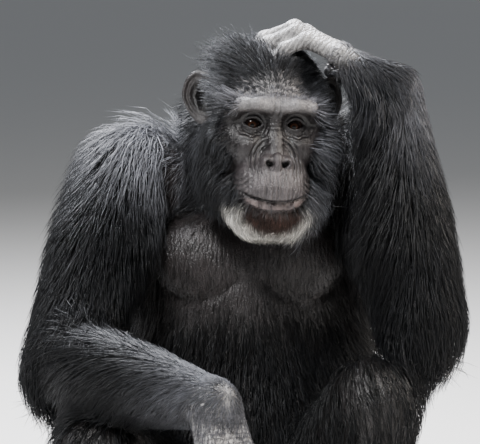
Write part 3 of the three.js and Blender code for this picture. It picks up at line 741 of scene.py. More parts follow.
# Works on fields of one number a point and on fields of three, such as colours.
def mixed(a, b, share):
    wide = np.ndim(a) == 2 or np.ndim(b) == 2 or np.size(a) == 3
    share = np.reshape(share, (-1, 1)) if wide else share
    return a * (1 - share) + b * share


BLACK = hue("#090a0d")
lie = np.zeros((count, 3))
hair = {key: np.zeros(count) for key in ("long", "rise", "wide", "dense")}
tint = np.tile(BLACK, (count, 1))
hide = np.tile(hue("#1d1a1a"), (count, 1))
CROWN, CHEEKS, NAPE, BACK, FRONT, SHORT = "crown", "cheeks", "nape", "back", "front", "hands_and_feet"
patch = np.full(count, BACK, dtype="U20")


def within(name):
    return region == names.index(name)


def grow_on(name, **values):
    here = within(name)
    for key, value in values.items():
        hair[key][here] = value if np.isscalar(value) else value[here]
    return here


x, y, z = spot.T
side_of = np.sign(x)
chest = ramp(-upward[:, 1], 0.1, 0.5) * ramp(z, 385, 420) * ramp(-y, 10, 50)
flank = ramp(np.abs(x), 85, 125) * ramp(z, 250, 330) * ramp(-z, -520, -470)
breast = np.hypot(np.abs(x) - NIPPLE[0], z - NIPPLE[2]) + 99 * (y > -40)
over = ramp(z, 470, 560) * ramp(np.abs(x), 30, 90)
here = grow_on(
    "trunk", long=mixed(mixed(60 + 40 * over, 20, chest), 90, flank),
    rise=mixed(mixed(13 + 26 * over, 3, chest), 34 + 20 * (x > 0), flank),
    wide=mixed(1.2, 0.6, chest), dense=mixed(mixed(1, 0.42, chest), 1.5, flank) * ramp(breast, 9, 16),
)
lie[here] = row(side_of * (0.12 + 0.9 * over), 0.15 + 0.2 * over, -1 + 0.5 * over)[here]
patch[here & (y < 8)] = FRONT
tint = mixed(tint, hue("#1c1816"), 0.8 * chest * here)
hide = mixed(hide, hue("#252020"), chest * here)
hide = mixed(hide, hue("#231a18"), here * ramp(-breast, -8, -5))
# Painted highlight: the hair on top of the right shoulder is made lighter where the top light falls on
# it.
painted_shoulder_highlight = bell(length(spot - at(-122, -30, 618)), 52)
here = grow_on("neck", long=84, rise=mixed(16, 42, ramp(upward[:, 2], -0.1, 0.5)), wide=1.2, dense=1.2)
lie[here] = row(0.25 * side_of, 0.5, -1)[here]
patch[here] = NAPE

for side in SIDES:
    tag = NAMES[side]
    run = ELBOW[side] - SHOULDER[side]
    share = np.clip(((spot - SHOULDER[side]) @ run) / (run @ run), 0, 1)
    here = grow_on(
        "upper_arm_" + tag, long=mixed(80, 82, share), rise=mixed(30, 17, ramp(share, 0, 0.5)),
        wide=1.2, dense=1.15
    )
    lie[here] = (unit(run) + at(side * 0.12, 0.15, -0.55) + 0 * spot)[here]
    patch[here] = "upper_arm_" + tag
    run = ELBOW[side] - WRIST[side]
    share = np.clip(((spot - WRIST[side]) @ run) / (run @ run), 0, 1)
    inner = ramp(-upward[:, 0] - 0.5 * upward[:, 2], -0.2, 0.4) * (side == LEFT)
    near_wrist = (1 - ramp(share, -0.02, 0.34)) * (1 - inner)
    here = grow_on(
        "forearm_" + tag, long=mixed(74, 20, near_wrist), wide=mixed(1.2, 0.6, near_wrist),
        rise=mixed(mixed(16, 4, near_wrist), 34, inner * (share < 0.6)), dense=1.3 + 2.2 * near_wrist,
    )
    lie[here] = (
        unit(run) + (at(0.1, 0.1, -0.3) if side == LEFT else at(-0.05, 0.1, -0.75))
        + inner[:, None] * at(-0.8, 0, 0.1)
    )[here]
    tint = mixed(tint, hue("#515257"), near_wrist * here)
    hide = mixed(hide, hue("#767575"), near_wrist * here)
    patch[here] = "forearm_" + tag
    here = grow_on("thigh_" + tag, long=56, rise=12, wide=1.25, dense=0.85)
    lie[here] = (unit(KNEE[side] - HIP[side]) * 0.5 + at(side * 0.15, 0, -1) + 0 * spot)[here]
    patch[here] = "leg_" + tag
    here = grow_on("shin_" + tag, long=mixed(50, 22, ramp(-z, -140, -80)), rise=9, wide=1.2, dense=0.85)
    lie[here] = (unit(ANKLE[side] - KNEE[side]) + 0 * spot)[here]
    patch[here] = "leg_" + tag
    # The legs' hair is painted darker than the rest of the coat, as painted shade on the low legs.
    for leg in ("thigh_", "shin_"):
        tint[within(leg + tag)] = hue("#050608")
    along, across, palm_way = hand_frame(side)
    reach = (spot - WRIST[side]) @ along
    back = ramp(-(upward @ palm_way), -0.1, 0.35)
    here = grow_on("hand_" + tag, long=mixed(16, 8, ramp(reach, 0, 80)), rise=2.5, wide=0.6,
                   dense=back * mixed(2.6, 0, ramp(reach, 6, 75)))
    lie[here] = (along - 0.5 * across + 0 * spot)[here]
    patch[here] = SHORT
    tint = mixed(tint, hue("#5a5a5e"), here)
    # The hand's hide is light grey; its palm side is painted darker, as painted shade.
    hide = mixed(hide, hue("#b3b1b0"), here * mixed(0.4, 1, back))
    if side == LEFT:
        sleeve = ramp(-reach, -84, -56)
        below = ramp(-upward[:, 2] - 0.3 * upward[:, 0], -0.2, 0.6)
        grow_on(
            "hand_left", long=mixed(hair["long"], 44 + 26 * below, sleeve), wide=mixed(0.6, 1.1, sleeve),
            rise=mixed(hair["rise"], 10 + 34 * below, sleeve), dense=mixed(hair["dense"], 2.6, sleeve),
        )
        lie[here & (sleeve > 0.3)] = unit(-along + at(-0.1, 0, -0.7))
        patch[here & (sleeve > 0.3)] = "forearm_left"
        tint = mixed(tint, hue("#1d1e22"), here * sleeve)
        hide = mixed(hide, hue("#2a2828"), here * sleeve)
    here = grow_on(
        "foot_" + tag, long=14, rise=2.5, wide=0.7,
        dense=ramp(upward[:, 2], 0.1, 0.6) * 0.7 * ramp(z, 26, 50)
    )
    lie[here] = (unit(FOOT_WAY[side]) + 0 * spot)[here]
    patch[here] = SHORT
    hide = mixed(hide, hue("#4d4744"), here)

# The head: bare face, short upright hair on the brow, long whiskers, a white beard and rust chin.
x, y, z = in_head.T
side_of = np.sign(x)
bare = ramp(1.06 - np.sqrt((x / 48) ** 2 + ((z + 50) / 68) ** 2), 0, 0.14) * ramp(-y, -44, -36)
crown = ramp(z, 2, 34)
forehead = ramp(z, 8, 16) * ramp(-z, -74, -56) * ramp(-y, -52, -30) * ramp(54 - np.abs(x), 0, 12)
mouth_here = mouth_height(np.minimum(x, MOUTH["half"]))
chin = ramp(mouth_here - z, 9, 15) * ramp(-y, -48, -40)
ring = np.sqrt((x / 37) ** 2 + ((z + 100) / 31) ** 2 + (np.maximum(y, -8) + 8) ** 2 / 36**2)
white = chin * ramp(ring, 0.86, 1.02) * ramp(1.75 - ring, 0, 0.25)
rust = chin * ramp(1.02 - ring, 0, 0.16)
bare = bare * (1 - chin)
brow_ridge = (
    ramp(z, 6, 15) * ramp(38 - z + 3 * np.sin(x * 0.3), 0, 16) * ramp(52 - np.abs(x), 0, 12)
    * ramp(-y, -40, -24)
)
aside = ramp(np.abs(x), 25, 50)
behind = ramp(y, 50, 85)
outer = (x > 0) * aside * ramp(-z, -30, 10)
high = ramp(0.6 * z - x, 10, 60)
long = mixed(
    mixed(mixed(46 + 34 * outer, 50 + 20 * high, crown), 5 + 8 * ramp(z, 22, 60), forehead),
    56 + 8 * high, behind
)
from_face = np.sqrt((x / 48) ** 2 + ((z + 42) / 76) ** 2) + 9 * (y > 60)
under_hand = ramp(part_distance("hand_left", spot), 3, 26)
long = mixed(
    np.minimum(9, long), long, np.maximum(ramp(from_face, 0.9, 1.45), 0.5 * (z < 0) * aside)
) * (0.2 + 0.8 * under_hand)
round_eye = np.sqrt((np.abs(x) - EYE["apart"]) ** 2 * 0.6 + (z + 3) ** 2)
eye_away = round_eye + 9 * np.maximum(y - 30, 0)
long *= 0.12 + 0.88 * ramp(eye_away, 24, 52)
ear_away = length(row(np.abs(x) - 70, y - 66, z - 26)) + 30 * (x > 0)
long *= 0.4 + 0.6 * ramp(ear_away, 16, 56)
long = mixed(mixed(long, 13, rust), 30, white)
outward = mixed(15, 34, outer)
rise = mixed(
    mixed(mixed(outward, 30 + 18 * high, crown), 3, forehead), 36 + 8 * high, behind * (1 - forehead)
)
rise = (
    mixed(rise, 6, np.maximum(rust, white)) * (0.1 + 0.9 * under_hand)
    * (0.2 + 0.8 * ramp(ear_away, 16, 56))
)
here = grow_on(
    "head", long=long, rise=rise, wide=mixed(mixed(0.8, 0.5, forehead), 0.5, np.maximum(rust, white)),
    dense=mixed(1, 2.2, forehead) * (1 - 0.72 * brow_ridge) * (1 - bare) * ramp(eye_away, 20, 27)
    * mixed(1, mixed(6, 3.0, white), np.maximum(rust, white)) * ramp(under_hand, 0, 0.15),
)
whiskers = row((0.34 + 0.3 * (x > 0)) * side_of * ramp(np.abs(x), 8, 40), 0.35, -1)
swept = row(0.018 * x, 0.75, 0.3 + 0 * x)
beard = row(0.012 * x, -0.3, -1 + 0 * x)
flow = mixed(
    mixed(whiskers, swept, np.maximum(crown, ramp(z, 0, 9) * ramp(56 - np.abs(x), 0, 12))), beard,
    np.maximum(rust, white)
)
lie[here] = (flow @ HEAD_TURN.T)[here]
patch[here] = CHEEKS
patch[here & (z > 4)] = CROWN
# Grey hair over the head, lighter higher up; on the cheeks of the animal's left side, where the side
# light falls, the hair is painted much lighter, as a painted highlight.
grey_hair_and_highlight = np.minimum(0.14 + 0.16 * ramp(z, -60, 10) + 1.5 * outer, 1.5)
tint = mixed(
    tint,
    mixed(
        np.tile(hue("#17181a"), (count, 1)), hue("#45464a"),
        grey_hair_and_highlight * ramp(70 - z, 0, 30) * 0.4 + grey_hair_and_highlight * 0.6
    ),
    here
)
tint = mixed(tint, hue("#74747a"), forehead * ramp(42 - z, 0, 14) * here)
tint = mixed(mixed(tint, hue("#35251f"), rust * here), hue("#cbc8c2"), white * here)
hide = mixed(hide, hue("#242122"), here)
on_face_now = here * ramp(-y, -46, -34)
hide = mixed(hide, hue("#211d1e"), on_face_now)
muzzle_skin = on_face_now * ramp(1.15 - np.sqrt((x / 44) ** 2 + ((z + 76) / 40) ** 2), 0, 0.3)
hide = mixed(hide, hue("#4b4647"), muzzle_skin)
# The brow and forehead skin is painted light grey: partly its own greyish tone, partly a painted
# highlight on the brow ridge where the light from above falls.
hide = mixed(hide, hue("#7d7a7a"), on_face_now * ramp(z, 10, 22) * ramp(-z, -74, -40))
# Darker around and below the eyes: the dark skin there, and painted shade in the sockets under the brow.
hide = mixed(hide, hue("#151112"), on_face_now * ramp(25 - round_eye, 0, 9) * ramp(15 - z, 0, 5))
lips = on_face_now * bell(z - mouth_here + 5.4, 2.5) * ramp(38 - np.abs(x), 0, 12)
hide = mixed(hide, hue("#8f7a75"), 0.75 * lips)
hide = mixed(hide, hue("#2e1c16"), on_face_now * rust)
# Painted shade: the face's folds and creases, and the shut line of the mouth, are darkened towards
# black.
hide = mixed(hide, hue("#050404"), 0.75 * np.clip(face_folds(in_head) / 1.1, 0, 1) * on_face_now)
hair["dense"] *= length(row(np.abs(x) - 66, y - 68, z - 26)) > 13
# The right shoulder's hair is painted lighter here, as a painted highlight.
tint = mixed(tint, hue("#8d8e94"), painted_shoulder_highlight)

# The fields are smoothed along the skin's edges, so that one part's coat passes into the next.
edges = np.empty(len(skin.data.edges) * 2, dtype=np.int64)
skin.data.edges.foreach_get("vertices", edges)
edges = edges.reshape(-1, 2)
ends, others = np.concatenate([edges[:, 0], edges[:, 1]]), np.concatenate([edges[:, 1], edges[:, 0]])
lie = unit(lie)
field = np.column_stack([lie, *hair.values(), tint, hide])
links = np.bincount(ends, minlength=count)[:, None]
for _ in range(6):
    total = np.stack([np.bincount(ends, field[others, i], count) for i in range(field.shape[1])], 1)
    field = 0.4 * field + 0.6 * total / links
lie, tint, hide = field[:, :3], field[:, 7:10], field[:, 10:13]
# Painted shade: the nostrils are painted near black inside.
hide = mixed(hide, hue("#020202"), np.minimum(1.5 * nostrils(in_head), 1) * within("head"))
hair = {key: field[:, 3 + i] for i, key in enumerate(hair)}


# The hide: dry bare leather of an old animal, which carries its markings and its painted light and
# shade as a colour attribute. Its creases run across the fingers and the lip, where the real ones do,
# and cracks about 2.5 mm apart cover the rest. They give it a broken, half-matt shine, and shade is
# painted into both. Pores are drawn 1.5 mm wide, so they show.
def add_colour(mesh, name, rgb):
    layer = mesh.attributes.new(name, "FLOAT_COLOR", "POINT")
    layer.data.foreach_set("color", np.column_stack([rgb, np.ones(len(rgb))]).astype(np.float32).ravel())


def add_field(mesh, name, values):
    kind, key = ("FLOAT", "value") if values.ndim == 1 else ("FLOAT_VECTOR", "vector")
    layer = mesh.attributes.new(name, kind, "POINT")
    layer.data.foreach_set(key, values.astype(np.float32).ravel())


add_colour(skin.data, "markings_and_painted_light", hide)
crease = spot / 1000 * 0.9
rough = np.where(within("head"), 0.12 + 0.4 * muzzle_skin * (1 - lips), 0.35)
for side in SIDES:
    along, across, palm_way = hand_frame(side)
    here = within("hand_" + NAMES[side])
    local = np.stack([crease @ along, crease @ across * 0.4, crease @ palm_way * 0.5], 1)
    crease = mixed(crease, local, here)
    rough[here] = 1.0
crease = mixed(crease, in_head / 1000 * (1, 0.8, 0.62), within("head"))
add_field(skin.data, "crease_map", crease)
add_field(skin.data, "roughness_of_hide", rough)

tree = skin_tree
markings_and_painted_light = node(tree, "Attribute", {"attribute_name": "markings_and_painted_light"})
where = node(tree, "Attribute", {"attribute_name": "crease_map"}).outputs["Vector"]
warp = node(tree, "TexNoise", Vector=where, Scale=220.0, Detail=2.0)
shift = node(tree, "VectorMath", {"operation": "SCALE"}, n0=warp.outputs["Color"], Scale=0.003)
bent = node(tree, "VectorMath", {"operation": "ADD"}, n0=where, n1=shift)
cracks = node(tree, "TexVoronoi", {"feature": "DISTANCE_TO_EDGE"}, Vector=bent, Scale=430.0)
lines = node(tree, "MapRange", Value=cracks, From_Max=0.25)
waves = node(tree, "TexWave", Vector=where, Scale=62.0, Distortion=7.0, Detail=3.0)
waves.inputs["Detail Scale"].default_value = 2.2
waves.inputs["Detail Roughness"].default_value = 0.65
pores = node(tree, "TexNoise", Vector=where, Scale=700.0, Detail=4.0)
mottle = node(tree, "TexNoise", Vector=where, Scale=95.0, Detail=6.0, Roughness=0.65)
worn = node(tree, "Attribute", {"attribute_name": "roughness_of_hide"}).outputs["Fac"]
tone = node(tree, "MapRange", Value=mottle, From_Min=0.32, From_Max=0.68, To_Min=0.62, To_Max=1.4)
# Painted shade: the hide is darkened along its cracks and in the troughs of its wave creases.
crack_shade = node(tree, "MapRange", Value=lines, To_Min=0.72, To_Max=1.04)
both = node(tree, "Math", {"operation": "MULTIPLY"}, n0=tone, n1=crack_shade)
crease_shade_depth = node(tree, "MapRange", Value=waves.outputs["Fac"], From_Max=0.45, To_Min=-0.5, To_Max=0.0)
crease_shade = node(tree, "Math", {"operation": "MULTIPLY_ADD"}, n0=crease_shade_depth, n1=worn, n2=1.0)
dark = node(tree, "Math", {"operation": "MULTIPLY"}, n0=both, n1=crease_shade)
toned = node(tree, "VectorMath", {"operation": "SCALE"}, n0=markings_and_painted_light, Scale=dark)
folds = node(tree, "Math", {"operation": "MULTIPLY"}, n0=waves.outputs["Fac"], n1=worn)
bump = node(tree, "Bump", Height=folds, Distance=0.0016, Strength=0.8)
for height, deep, strength in ((lines, 0.0005, 0.5), (mottle, 0.0022, 0.4), (pores, 0.0003, 0.35)):
    bump = node(tree, "Bump", Height=height, Distance=deep, Strength=strength, Normal=bump)
gloss = node(tree, "MapRange", Value=mottle, To_Min=0.3, To_Max=0.5)
leather = node(tree, "BsdfPrincipled", Base_Color=toned, Roughness=gloss, Normal=bump)
node(tree, "OutputMaterial", Surface=leather)
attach(skin, "root")
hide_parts(*[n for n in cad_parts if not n.startswith(("eye_", "ear_"))])

# Eyes: each ball has a bulging clear front, a near-black pupil, a brown iris that darkens to its
# rim and a dark brown white, as chimpanzees have. The wet film gives it one small sharp light.
eye_gloss, tree = new_material("wet_brown_eye")
turned = node(tree, "UVMap", {"uv_map": "gaze"})
apart = node(tree, "SeparateXYZ", Vector=turned)
rings = node(tree, "ValToRGB", Fac=apart.outputs["X"])
stops = [
    (0, "#020202"), (0.066, "#020202"), (0.076, "#2b170c"), (0.12, "#1f1008"), (0.155, "#170b06"),
    (0.17, "#060403"), (0.2, "#0f0908"), (0.3, "#1d1412"), (1, "#241a17"),
]
while len(rings.color_ramp.elements) < len(stops):
    rings.color_ramp.elements.new(0.5)
for element, (spread, code) in zip(rings.color_ramp.elements, stops):
    element.position = spread
    element.color = linear(code)
fibres = node(tree, "CombineXYZ", X=apart.outputs["X"], Y=apart.outputs["Y"])
stretch = node(tree, "VectorMath", {"operation": "MULTIPLY"}, n0=fibres, n1=(12, 60, 1))
streaks = node(tree, "TexNoise", Vector=stretch, Scale=1.0, Detail=3.0)
streak = node(tree, "MapRange", Value=streaks, From_Min=0.3, From_Max=0.7, To_Min=0.55, To_Max=1.5)
iris = node(tree, "VectorMath", {"operation": "SCALE"}, n0=rings, Scale=streak)
wet = node(tree, "BsdfPrincipled", Base_Color=iris, Roughness=0.05, Specular_IOR_Level=0.15)
node(tree, "OutputMaterial", Surface=wet)


# Faces between rings of points, and for each face the row and the share of a turn of its points.
def net(bm, rows):
    around = len(rows[0])
    made = []
    for i in range(len(rows) - 1):
        for j in range(around):
            spots = {}
            for level, place in ((i, j), (i, j + 1), (i + 1, j + 1), (i + 1, j)):
                spots.setdefault(rows[level][place % around], (level, place / around))
            if len(spots) > 2:
                made.append((bm.faces.new(list(spots)), spots))
    return made


BALL, BULGE, WINDOW = 11.3, 0.9, 0.62  # the ball's girth, the clear front's height, its angle
for side in SIDES:
    centre = from_head([side * EYE["apart"], EYE["deep"], 0])
    gaze = unit(at(0.1, -3.0, 0.16) * 1000 - centre)
    right = unit(np.cross(gaze, UP))
    top = np.cross(right, gaze)
    angles = np.radians(
        [0, 3, 6, 9, 12, 15, 18, 21, 24, 27, 30, 34, 40, 48, 58, 70, 85, 100, 120, 140, 160, 180]
    )
    bm = bmesh.new()
    gaze_map = bm.loops.layers.uv.new("gaze")
    rows, steps = [], 40
    for angle in angles:
        pole = angle in (angles[0], angles[-1])
        girth = BALL + BULGE * max(0, 1 - (angle / WINDOW) ** 2) ** 2
        turns = [0] if pole else np.linspace(0, 2 * math.pi, steps, endpoint=False)
        ring = [
            bm.verts.new((centre + girth * (gaze * math.cos(angle) + math.sin(angle) * out)) / 1000)
            for out in (right * math.cos(t) + top * math.sin(t) for t in turns)
        ]
        rows.append(ring * steps if pole else ring)
    for face, spots in net(bm, rows):
        for loop in face.loops:
            level, turned_by = spots[loop.vert]
            loop[gaze_map].uv = angles[level] / math.pi, turned_by
    bmesh.ops.recalc_face_normals(bm, faces=bm.faces)
    ball = piece_from(bm, "eyeball_" + NAMES[side], eye_gloss)
    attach(ball, "root")
    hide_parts("eye_" + NAMES[side])

# Ears: thin cups of gristle with a rolled rim, an inner ridge and a deep bowl. They stand out from
# the sides of the head, in the same hide as the face, and their bowls are painted darker, as painted
# shade.
EAR = {"tall": 33, "wide": 23, "place": at(80, 70, 30), "turn": 28, "lean": 10}
for side in SIDES:
    frame_of_ear = (
        HEAD @ Matrix.Translation(EAR["place"] * at(side, 1, 1)) @ spin(side * EAR["turn"], "Z")
        @ spin(90, "X") @ spin(-side * EAR["lean"], "Z")
    )
    radii, turns = np.linspace(0, 1, 27), np.linspace(0, 2 * np.pi, 72, endpoint=False)
    r, a = np.meshgrid(radii, turns, indexing="ij")
    hind = np.clip(np.cos(a) * side * 0.8 + np.sin(a) * 0.5 + 0.35, 0, 1)
    rim = 4.6 * bell(r - 0.9, 0.085) * (0.35 + 0.65 * hind)
    ridge = 3.4 * bell(r - 0.62, 0.1) * hind
    from_bowl = np.hypot(r * np.cos(a) + side * 0.16, r * np.sin(a) + 0.1)
    bowl = 9.0 * np.clip(1 - (from_bowl / 0.5) ** 2, 0, 1)
    flap = 3.6 * bell(r - 0.5, 0.16) * np.clip(-np.cos(a) * side - 0.55, 0, 1) * 2
    dish = -3.0 * (1 - r**2)
    front = dish + rim + ridge - bowl + flap
    thick = 2.0 + 1.6 * (1 - r) ** 0.5
    edge = np.sqrt(1 - r**6)
    lobe = 1 - 0.2 * np.clip(-np.sin(a), 0, 1) + 0.05 * np.clip(np.sin(a * 2) * side, 0, 1)
    wave = 1 + 0.015 * np.sin(a * 5 + side) + 0.01 * np.sin(a * 9)
    px, py = r * np.cos(a) * EAR["wide"] * lobe * wave, r * np.sin(a) * EAR["tall"] * wave
    bm = bmesh.new()
    layers = []
    for depth in (front * edge + 0.9 * (1 - edge), (front - thick) * edge - 0.9 * (1 - edge)):
        middle = bm.verts.new(frame_of_ear @ Vector((0, 0, depth[0, 0])))
        layers.append([[middle] * len(turns)] + [
            [
                bm.verts.new(frame_of_ear @ Vector((px[i, j], py[i, j], depth[i, j])))
                for j in range(len(turns))
            ]
            for i in range(1, len(radii))
        ])
    net(bm, layers[0][::-1] + layers[1])
    bmesh.ops.recalc_face_normals(bm, faces=bm.faces)
    for vert in bm.verts:
        vert.co /= 1000
    ear = piece_from(bm, "ear_cup_" + NAMES[side], skin_leather)
    places_of_ear = np.array([v.co for v in ear.data.vertices])
    inside = np.array(frame_of_ear.inverted().to_3x3()) @ (
        places_of_ear * 1000 - np.array(frame_of_ear.translation)
    ).T
    # Painted shade: the bowl of the ear is painted near black towards its middle.
    painted_shade_in_bowl = ramp(-np.hypot(inside[0] / EAR["wide"], inside[1] / EAR["tall"]), -0.8, -0.35)
    add_colour(
        ear.data, "markings_and_painted_light", mixed(np.tile(hue("#2b2727"), (len(painted_shade_in_bowl), 1)), hue("#080707"), painted_shade_in_bowl)
    )
    add_field(ear.data, "crease_map", places_of_ear)
    add_field(ear.data, "roughness_of_hide", np.zeros(len(places_of_ear)))
    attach(ear, "root")
    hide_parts("ear_" + NAMES[side])

# Nails: thin curved plates of dark horn on the back of each finger and toe tip, worn smooth, so
# that they shine more than the hide, with a faint grain that is drawn coarser than the real one.
horn, tree = new_material("dark_horn_nail")
grain = node(tree, "TexNoise", Vector=node(tree, "TexCoord").outputs["Object"], Scale=500.0, Detail=3.0)
blend_tone = node(tree, "Mix", {"data_type": "RGBA"}, Factor=grain)
blend_tone.inputs["A"].default_value = linear("#2a2421")
blend_tone.inputs["B"].default_value = linear("#5a4f48")
ribs = node(tree, "Bump", Height=grain, Distance=0.0003, Strength=0.4)
nail_tone = blend_tone.outputs["Result"]
polished = node(tree, "BsdfPrincipled", Base_Color=nail_tone, Roughness=0.3, Normal=ribs)
node(tree, "OutputMaterial", Surface=polished)


def nail(bm, points, girth, up):
    last = girth * 0.73
    tip = lerp(points[-1], points[-2], last / length(points[-1] - points[-2]))
    along = unit(points[-1] - points[-2])
    up = unit(up - along * (up @ along))
    across = np.cross(along, up)
    grid = []
    for layer in (0.0, -0.9):
        for v in np.linspace(-0.75, 0.85, 7):
            line = []
            for u in np.linspace(-1, 1, 9):
                bend = u * math.radians(52) * (1 - 0.25 * max(v, 0) ** 2)
                out = last * (1.03 - 0.10 * max(v, 0) ** 2) + 0.5 + layer
                spot_here = (
                    tip + along * v * last * 0.95 + across * math.sin(bend) * out * 0.9
                    + up * math.cos(bend) * out
                )
                line.append(bm.verts.new(spot_here / 1000))
            grid.append(line)
    half = len(grid) // 2
    for i in range(len(grid) - 1):
        if i == half - 1:
            continue
        for j in range(8):
            bm.faces.new([grid[i][j], grid[i][j + 1], grid[i + 1][j + 1], grid[i + 1][j]])
    for one, two in ((grid[0], grid[half]), (grid[half - 1], grid[-1])):
        for j in range(8):
            bm.faces.new([one[j], one[j + 1], two[j + 1], two[j]])
    for i in range(half - 1):
        for j in (0, 8):
            bm.faces.new([grid[i][j], grid[i + 1][j], grid[half + i + 1][j], grid[half + i][j]])


bm = bmesh.new()
for side in SIDES:
    _, _, palm_way = hand_frame(side)
    for order in range(4):
        points = finger_points(side, order)
        last_way = unit(points[-1] - points[-2])
        hinge = np.cross(unit(points[1] - points[0]), last_way)
        bent = length(hinge) > 0.2
        back = np.cross(unit(hinge), last_way) if bent else 0.2 * last_way - palm_way
        nail(bm, points, FINGERS[order][4], back)
    nail(bm, thumb_points(side), THUMB_GIRTH, -palm_way)
    for toe in TOES:
        nail(bm, toe_points(side, toe), toe[3], UP)
    nail(bm, big_toe_points(side), BIG_TOE_GIRTH, UP)
bmesh.ops.recalc_face_normals(bm, faces=bm.faces)
nails = piece_from(bm, "nails", horn)
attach(nails, "root")

# A grid of heights over the flesh, 9 mm a cell, with the way up from it: hair is bent over it.
CELL = 9.0
low, high = spot.min(0) - 45, spot.max(0) + 45
axes = [np.arange(a, b, CELL) for a, b in zip(low, high)]
shape = [len(a) for a in axes]
heights = flesh(np.stack(np.meshgrid(*axes, indexing="ij"), -1).reshape(-1, 3)).reshape(shape)
around = np.stack([heights, *np.gradient(heights, CELL)], -1).reshape(-1, 4)


def over_flesh(p):
    g = np.clip((p - low) / CELL, 0, np.array(shape) - 1.001)
    base = g.astype(int)
    part = g - base
    total = 0
    for corner in np.ndindex(2, 2, 2):
        weight = np.prod(np.where(corner, part, 1 - part), 1)[:, None]
        i, j, k = (base + corner).T
        total = total + weight * around[(i * shape[1] + j) * shape[2] + k]
    return total[:, :1], unit(total[:, 1:])


# The coat: closed tapered strands with three sides, rooted in the skin. Each is bent along the lie
# over the flesh, hangs a little, and is drawn towards the tips of its neighbours into locks. Black
# hair is smooth and glossy along its length. A strand stands for a few hairs, so that it shows.
fur, tree = new_material("black_ape_hair")
colour = node(tree, "Attribute", {"attribute_name": "markings_and_painted_light"})
sheen = node(tree, "BsdfPrincipled", Base_Color=colour, Roughness=0.46, Specular_IOR_Level=0.36)
node(tree, "OutputMaterial", Surface=sheen)
skin.data.calc_loop_triangles()
corners = np.empty(len(skin.data.loop_triangles) * 3, dtype=np.int64)
skin.data.loop_triangles.foreach_get("vertices", corners)
corners = corners.reshape(-1, 3)
a, b, c = spot[corners[:, 0]], spot[corners[:, 1]], spot[corners[:, 2]]
area = length(np.cross(b - a, c - a)) / 2
triangle_patch = patch[corners[:, 0]]
DENSITY = 1.0
FLOOR_GAP = 0.0006  # in metres: hair lies on the floor and doesn't go into it
TUFT = 0.003  # the width of one strand's patch on the baked map


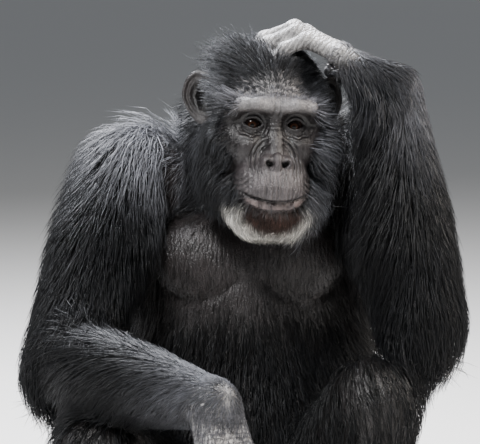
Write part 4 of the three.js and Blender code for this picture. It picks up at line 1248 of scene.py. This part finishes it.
def coat(name, amount, stations, axis, clump=13, droop=0.25, wave=0.05, spread=0.3):
    rng = np.random.default_rng(len(name) * 7 + amount)
    amount = int(amount * DENSITY)
    chance = area * hair["dense"][corners].mean(1) * (triangle_patch == name)
    pick = np.searchsorted(np.cumsum(chance), rng.random(amount) * chance.sum())
    pick = np.clip(pick, 0, len(corners) - 1)
    weights = rng.dirichlet((1, 1, 1), amount)[:, :, None]
    on = corners[pick]

    def blended(values):
        return (values.reshape(count, -1)[on] * weights).sum(1)

    root, up, way = blended(spot), unit(blended(upward)), blended(lie)
    way = way + rng.normal(0, 0.16, (amount, 3))
    way = unit(way - up * (way * up).sum(1)[:, None])
    long = blended(hair["long"]) * rng.uniform(0.6, 1.2, (amount, 1))
    rise = blended(hair["rise"]) * rng.uniform(0.25, 1.15, (amount, 1))
    wide = blended(hair["wide"]) * rng.uniform(0.7, 1.25, (amount, 1))
    tone = blended(tint) * rng.lognormal(-0.1, spread, (amount, 1))
    points, spot_now = [root - up * 0.8], root - up * 0.8
    way = unit(way + up * 0.45)
    for share, before in zip(stations[1:], stations[:-1]):
        spot_now = spot_now + way * long * (share - before)
        height, out = over_flesh(spot_now)
        want = rise * share**0.8
        spot_now = spot_now + out * np.clip(want - height, -0.22 * long * (share - before), 60)
        way = spot_now - points[-1]
        way = way - 0.35 * out * (way * out).sum(1)[:, None]
        way = unit(unit(way) - droop * UP)
        points.append(spot_now)
    line = np.stack(points, 1)
    cell = np.floor((root + 3 * np.sin(root[:, [1, 2, 0]] * 0.13)) / clump).astype(np.int64)
    _, lock = np.unique(cell @ np.array([1, 4096, 4096 * 4096]), return_inverse=True)
    lock = lock.ravel()
    members = np.bincount(lock)[:, None, None]
    tone = tone * rng.lognormal(-0.05, 0.55 * spread, (len(members), 1))[lock]
    for i, share in enumerate(stations):
        centre = np.stack([np.bincount(lock, line[:, i, k]) for k in range(3)], 1) / members[:, :, 0]
        pull = 0.6 * share**1.5 * rng.uniform(0.3, 1.0, (amount, 1))
        line[:, i] += (centre[lock] - line[:, i]) * pull
    sway = unit(np.cross(line[:, -1] - line[:, 0], up))
    phase = rng.uniform(0, 6.28, (amount, 1))
    for i, share in enumerate(stations[1:], 1):
        line[:, i] += sway * long * wave * share * np.sin(phase + share * 4)

    verts, tones = [], []
    for i, share in enumerate(stations[:-1]):
        run = unit(line[:, i + 1] - line[:, max(i - 1, 0)])
        flat = unit(np.cross(run, up))
        thin = np.cross(flat, run)
        half = wide / 2 * (0.85, 1.0, 0.75, 0.5)[i]
        for turn in (90, 210, 330):
            c, s = math.cos(math.radians(turn)), math.sin(math.radians(turn))
            verts.append(line[:, i] + flat * half * c + thin * half * s * 0.6)
            tones.append(tone * (0.7 + 0.7 * share))
    verts.append(line[:, -1])
    tones.append(tone * 1.4)
    size = len(verts)
    verts = np.stack(verts, 1).reshape(-1, 3) / 1000
    verts[:, 2] = np.maximum(verts[:, 2], FLOOR_GAP)
    faces = [(2, 1, 0)]
    tip = size - 1
    for i in range(0, tip, 3):
        for j, k in ((i, i + 1), (i + 1, i + 2), (i + 2, i)):
            faces.append((j, k, k + 3, j + 3) if i + 3 < tip else (j, k, tip))
    pattern = np.array([i for f in faces for i in f])
    sizes = np.array([len(f) for f in faces])
    starts = np.concatenate([[0], np.cumsum(sizes)[:-1]])
    loops = (pattern[None] + np.arange(amount)[:, None] * size).ravel()
    mesh = bpy.data.meshes.new("coat_" + name)
    mesh.vertices.add(amount * size)
    mesh.vertices.foreach_set("co", verts.astype(np.float32).ravel())
    mesh.loops.add(len(loops))
    mesh.loops.foreach_set("vertex_index", loops.astype(np.int32))
    mesh.polygons.add(amount * len(faces))
    firsts = (starts[None] + np.arange(amount)[:, None] * len(pattern)).ravel()
    mesh.polygons.foreach_set("loop_start", firsts.astype(np.int32))
    mesh.update(calc_edges=True)
    mesh.shade_smooth()
    add_colour(mesh, "markings_and_painted_light", np.stack(tones, 1).reshape(-1, 3))

    start, end = axis
    run = end - start
    turn = unit(np.cross(run, at(0.3, 1, 0.1)))
    other = np.cross(unit(run), turn)
    u = 0.5 + np.arctan2((root - start) @ turn, (root - start) @ other) / (2 * np.pi)
    v = np.clip(0.04 + 0.92 * ((root - start) @ run) / (run @ run), 0.01, 0.99)
    offsets = TUFT * np.array([((n % 3 - 1) * 0.4, n // 3 / len(stations) - 0.5) for n in range(size)])
    baked = mesh.uv_layers.new(name="OFBake")
    laid = (np.stack([0.004 + 0.992 * u, v], 1)[:, None] + offsets[pattern][None]).reshape(-1, 2)
    baked.data.foreach_set("uv", laid.astype(np.float32).ravel())
    mesh.materials.append(fur)
    piece = bpy.data.objects.new("coat_" + name, mesh)
    bpy.context.scene.collection.objects.link(piece)
    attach(piece, "root")


LONG, BRIEF = (0, 0.35, 0.7, 1), (0, 0.5, 1)
coat(
    CROWN, 10500, LONG, (from_head([0, 48, -10]), from_head([0, 48, 110])), clump=7, droop=0.0,
    spread=0.45
)
coat(
    CHEEKS, 11500, LONG, (from_head([0, 44, 10]), from_head([0, 44, -150])), clump=7, droop=0.2,
    spread=0.5
)
coat(NAPE, 5000, LONG, (at(0, 10, 500), at(0, -60, 660)), clump=11)
coat(BACK, 8000, LONG, (at(0, 0, 20), at(0, 10, 620)))
coat(FRONT, 8500, LONG, (at(0, 0, 20), at(0, 10, 620)), clump=10)
for side in SIDES:
    tag = NAMES[side]
    coat("upper_arm_" + tag, 8000, LONG, (SHOULDER[side], ELBOW[side]), droop=0.3)
    coat("forearm_" + tag, 10500, LONG, (ELBOW[side], WRIST[side]), droop=0.3)
    coat("leg_" + tag, 5000, LONG, (HIP[side], KNEE[side]))
coat(SHORT, 4500, BRIEF, (at(-200, -430, 10), at(150, -150, 760)), clump=5, droop=0)
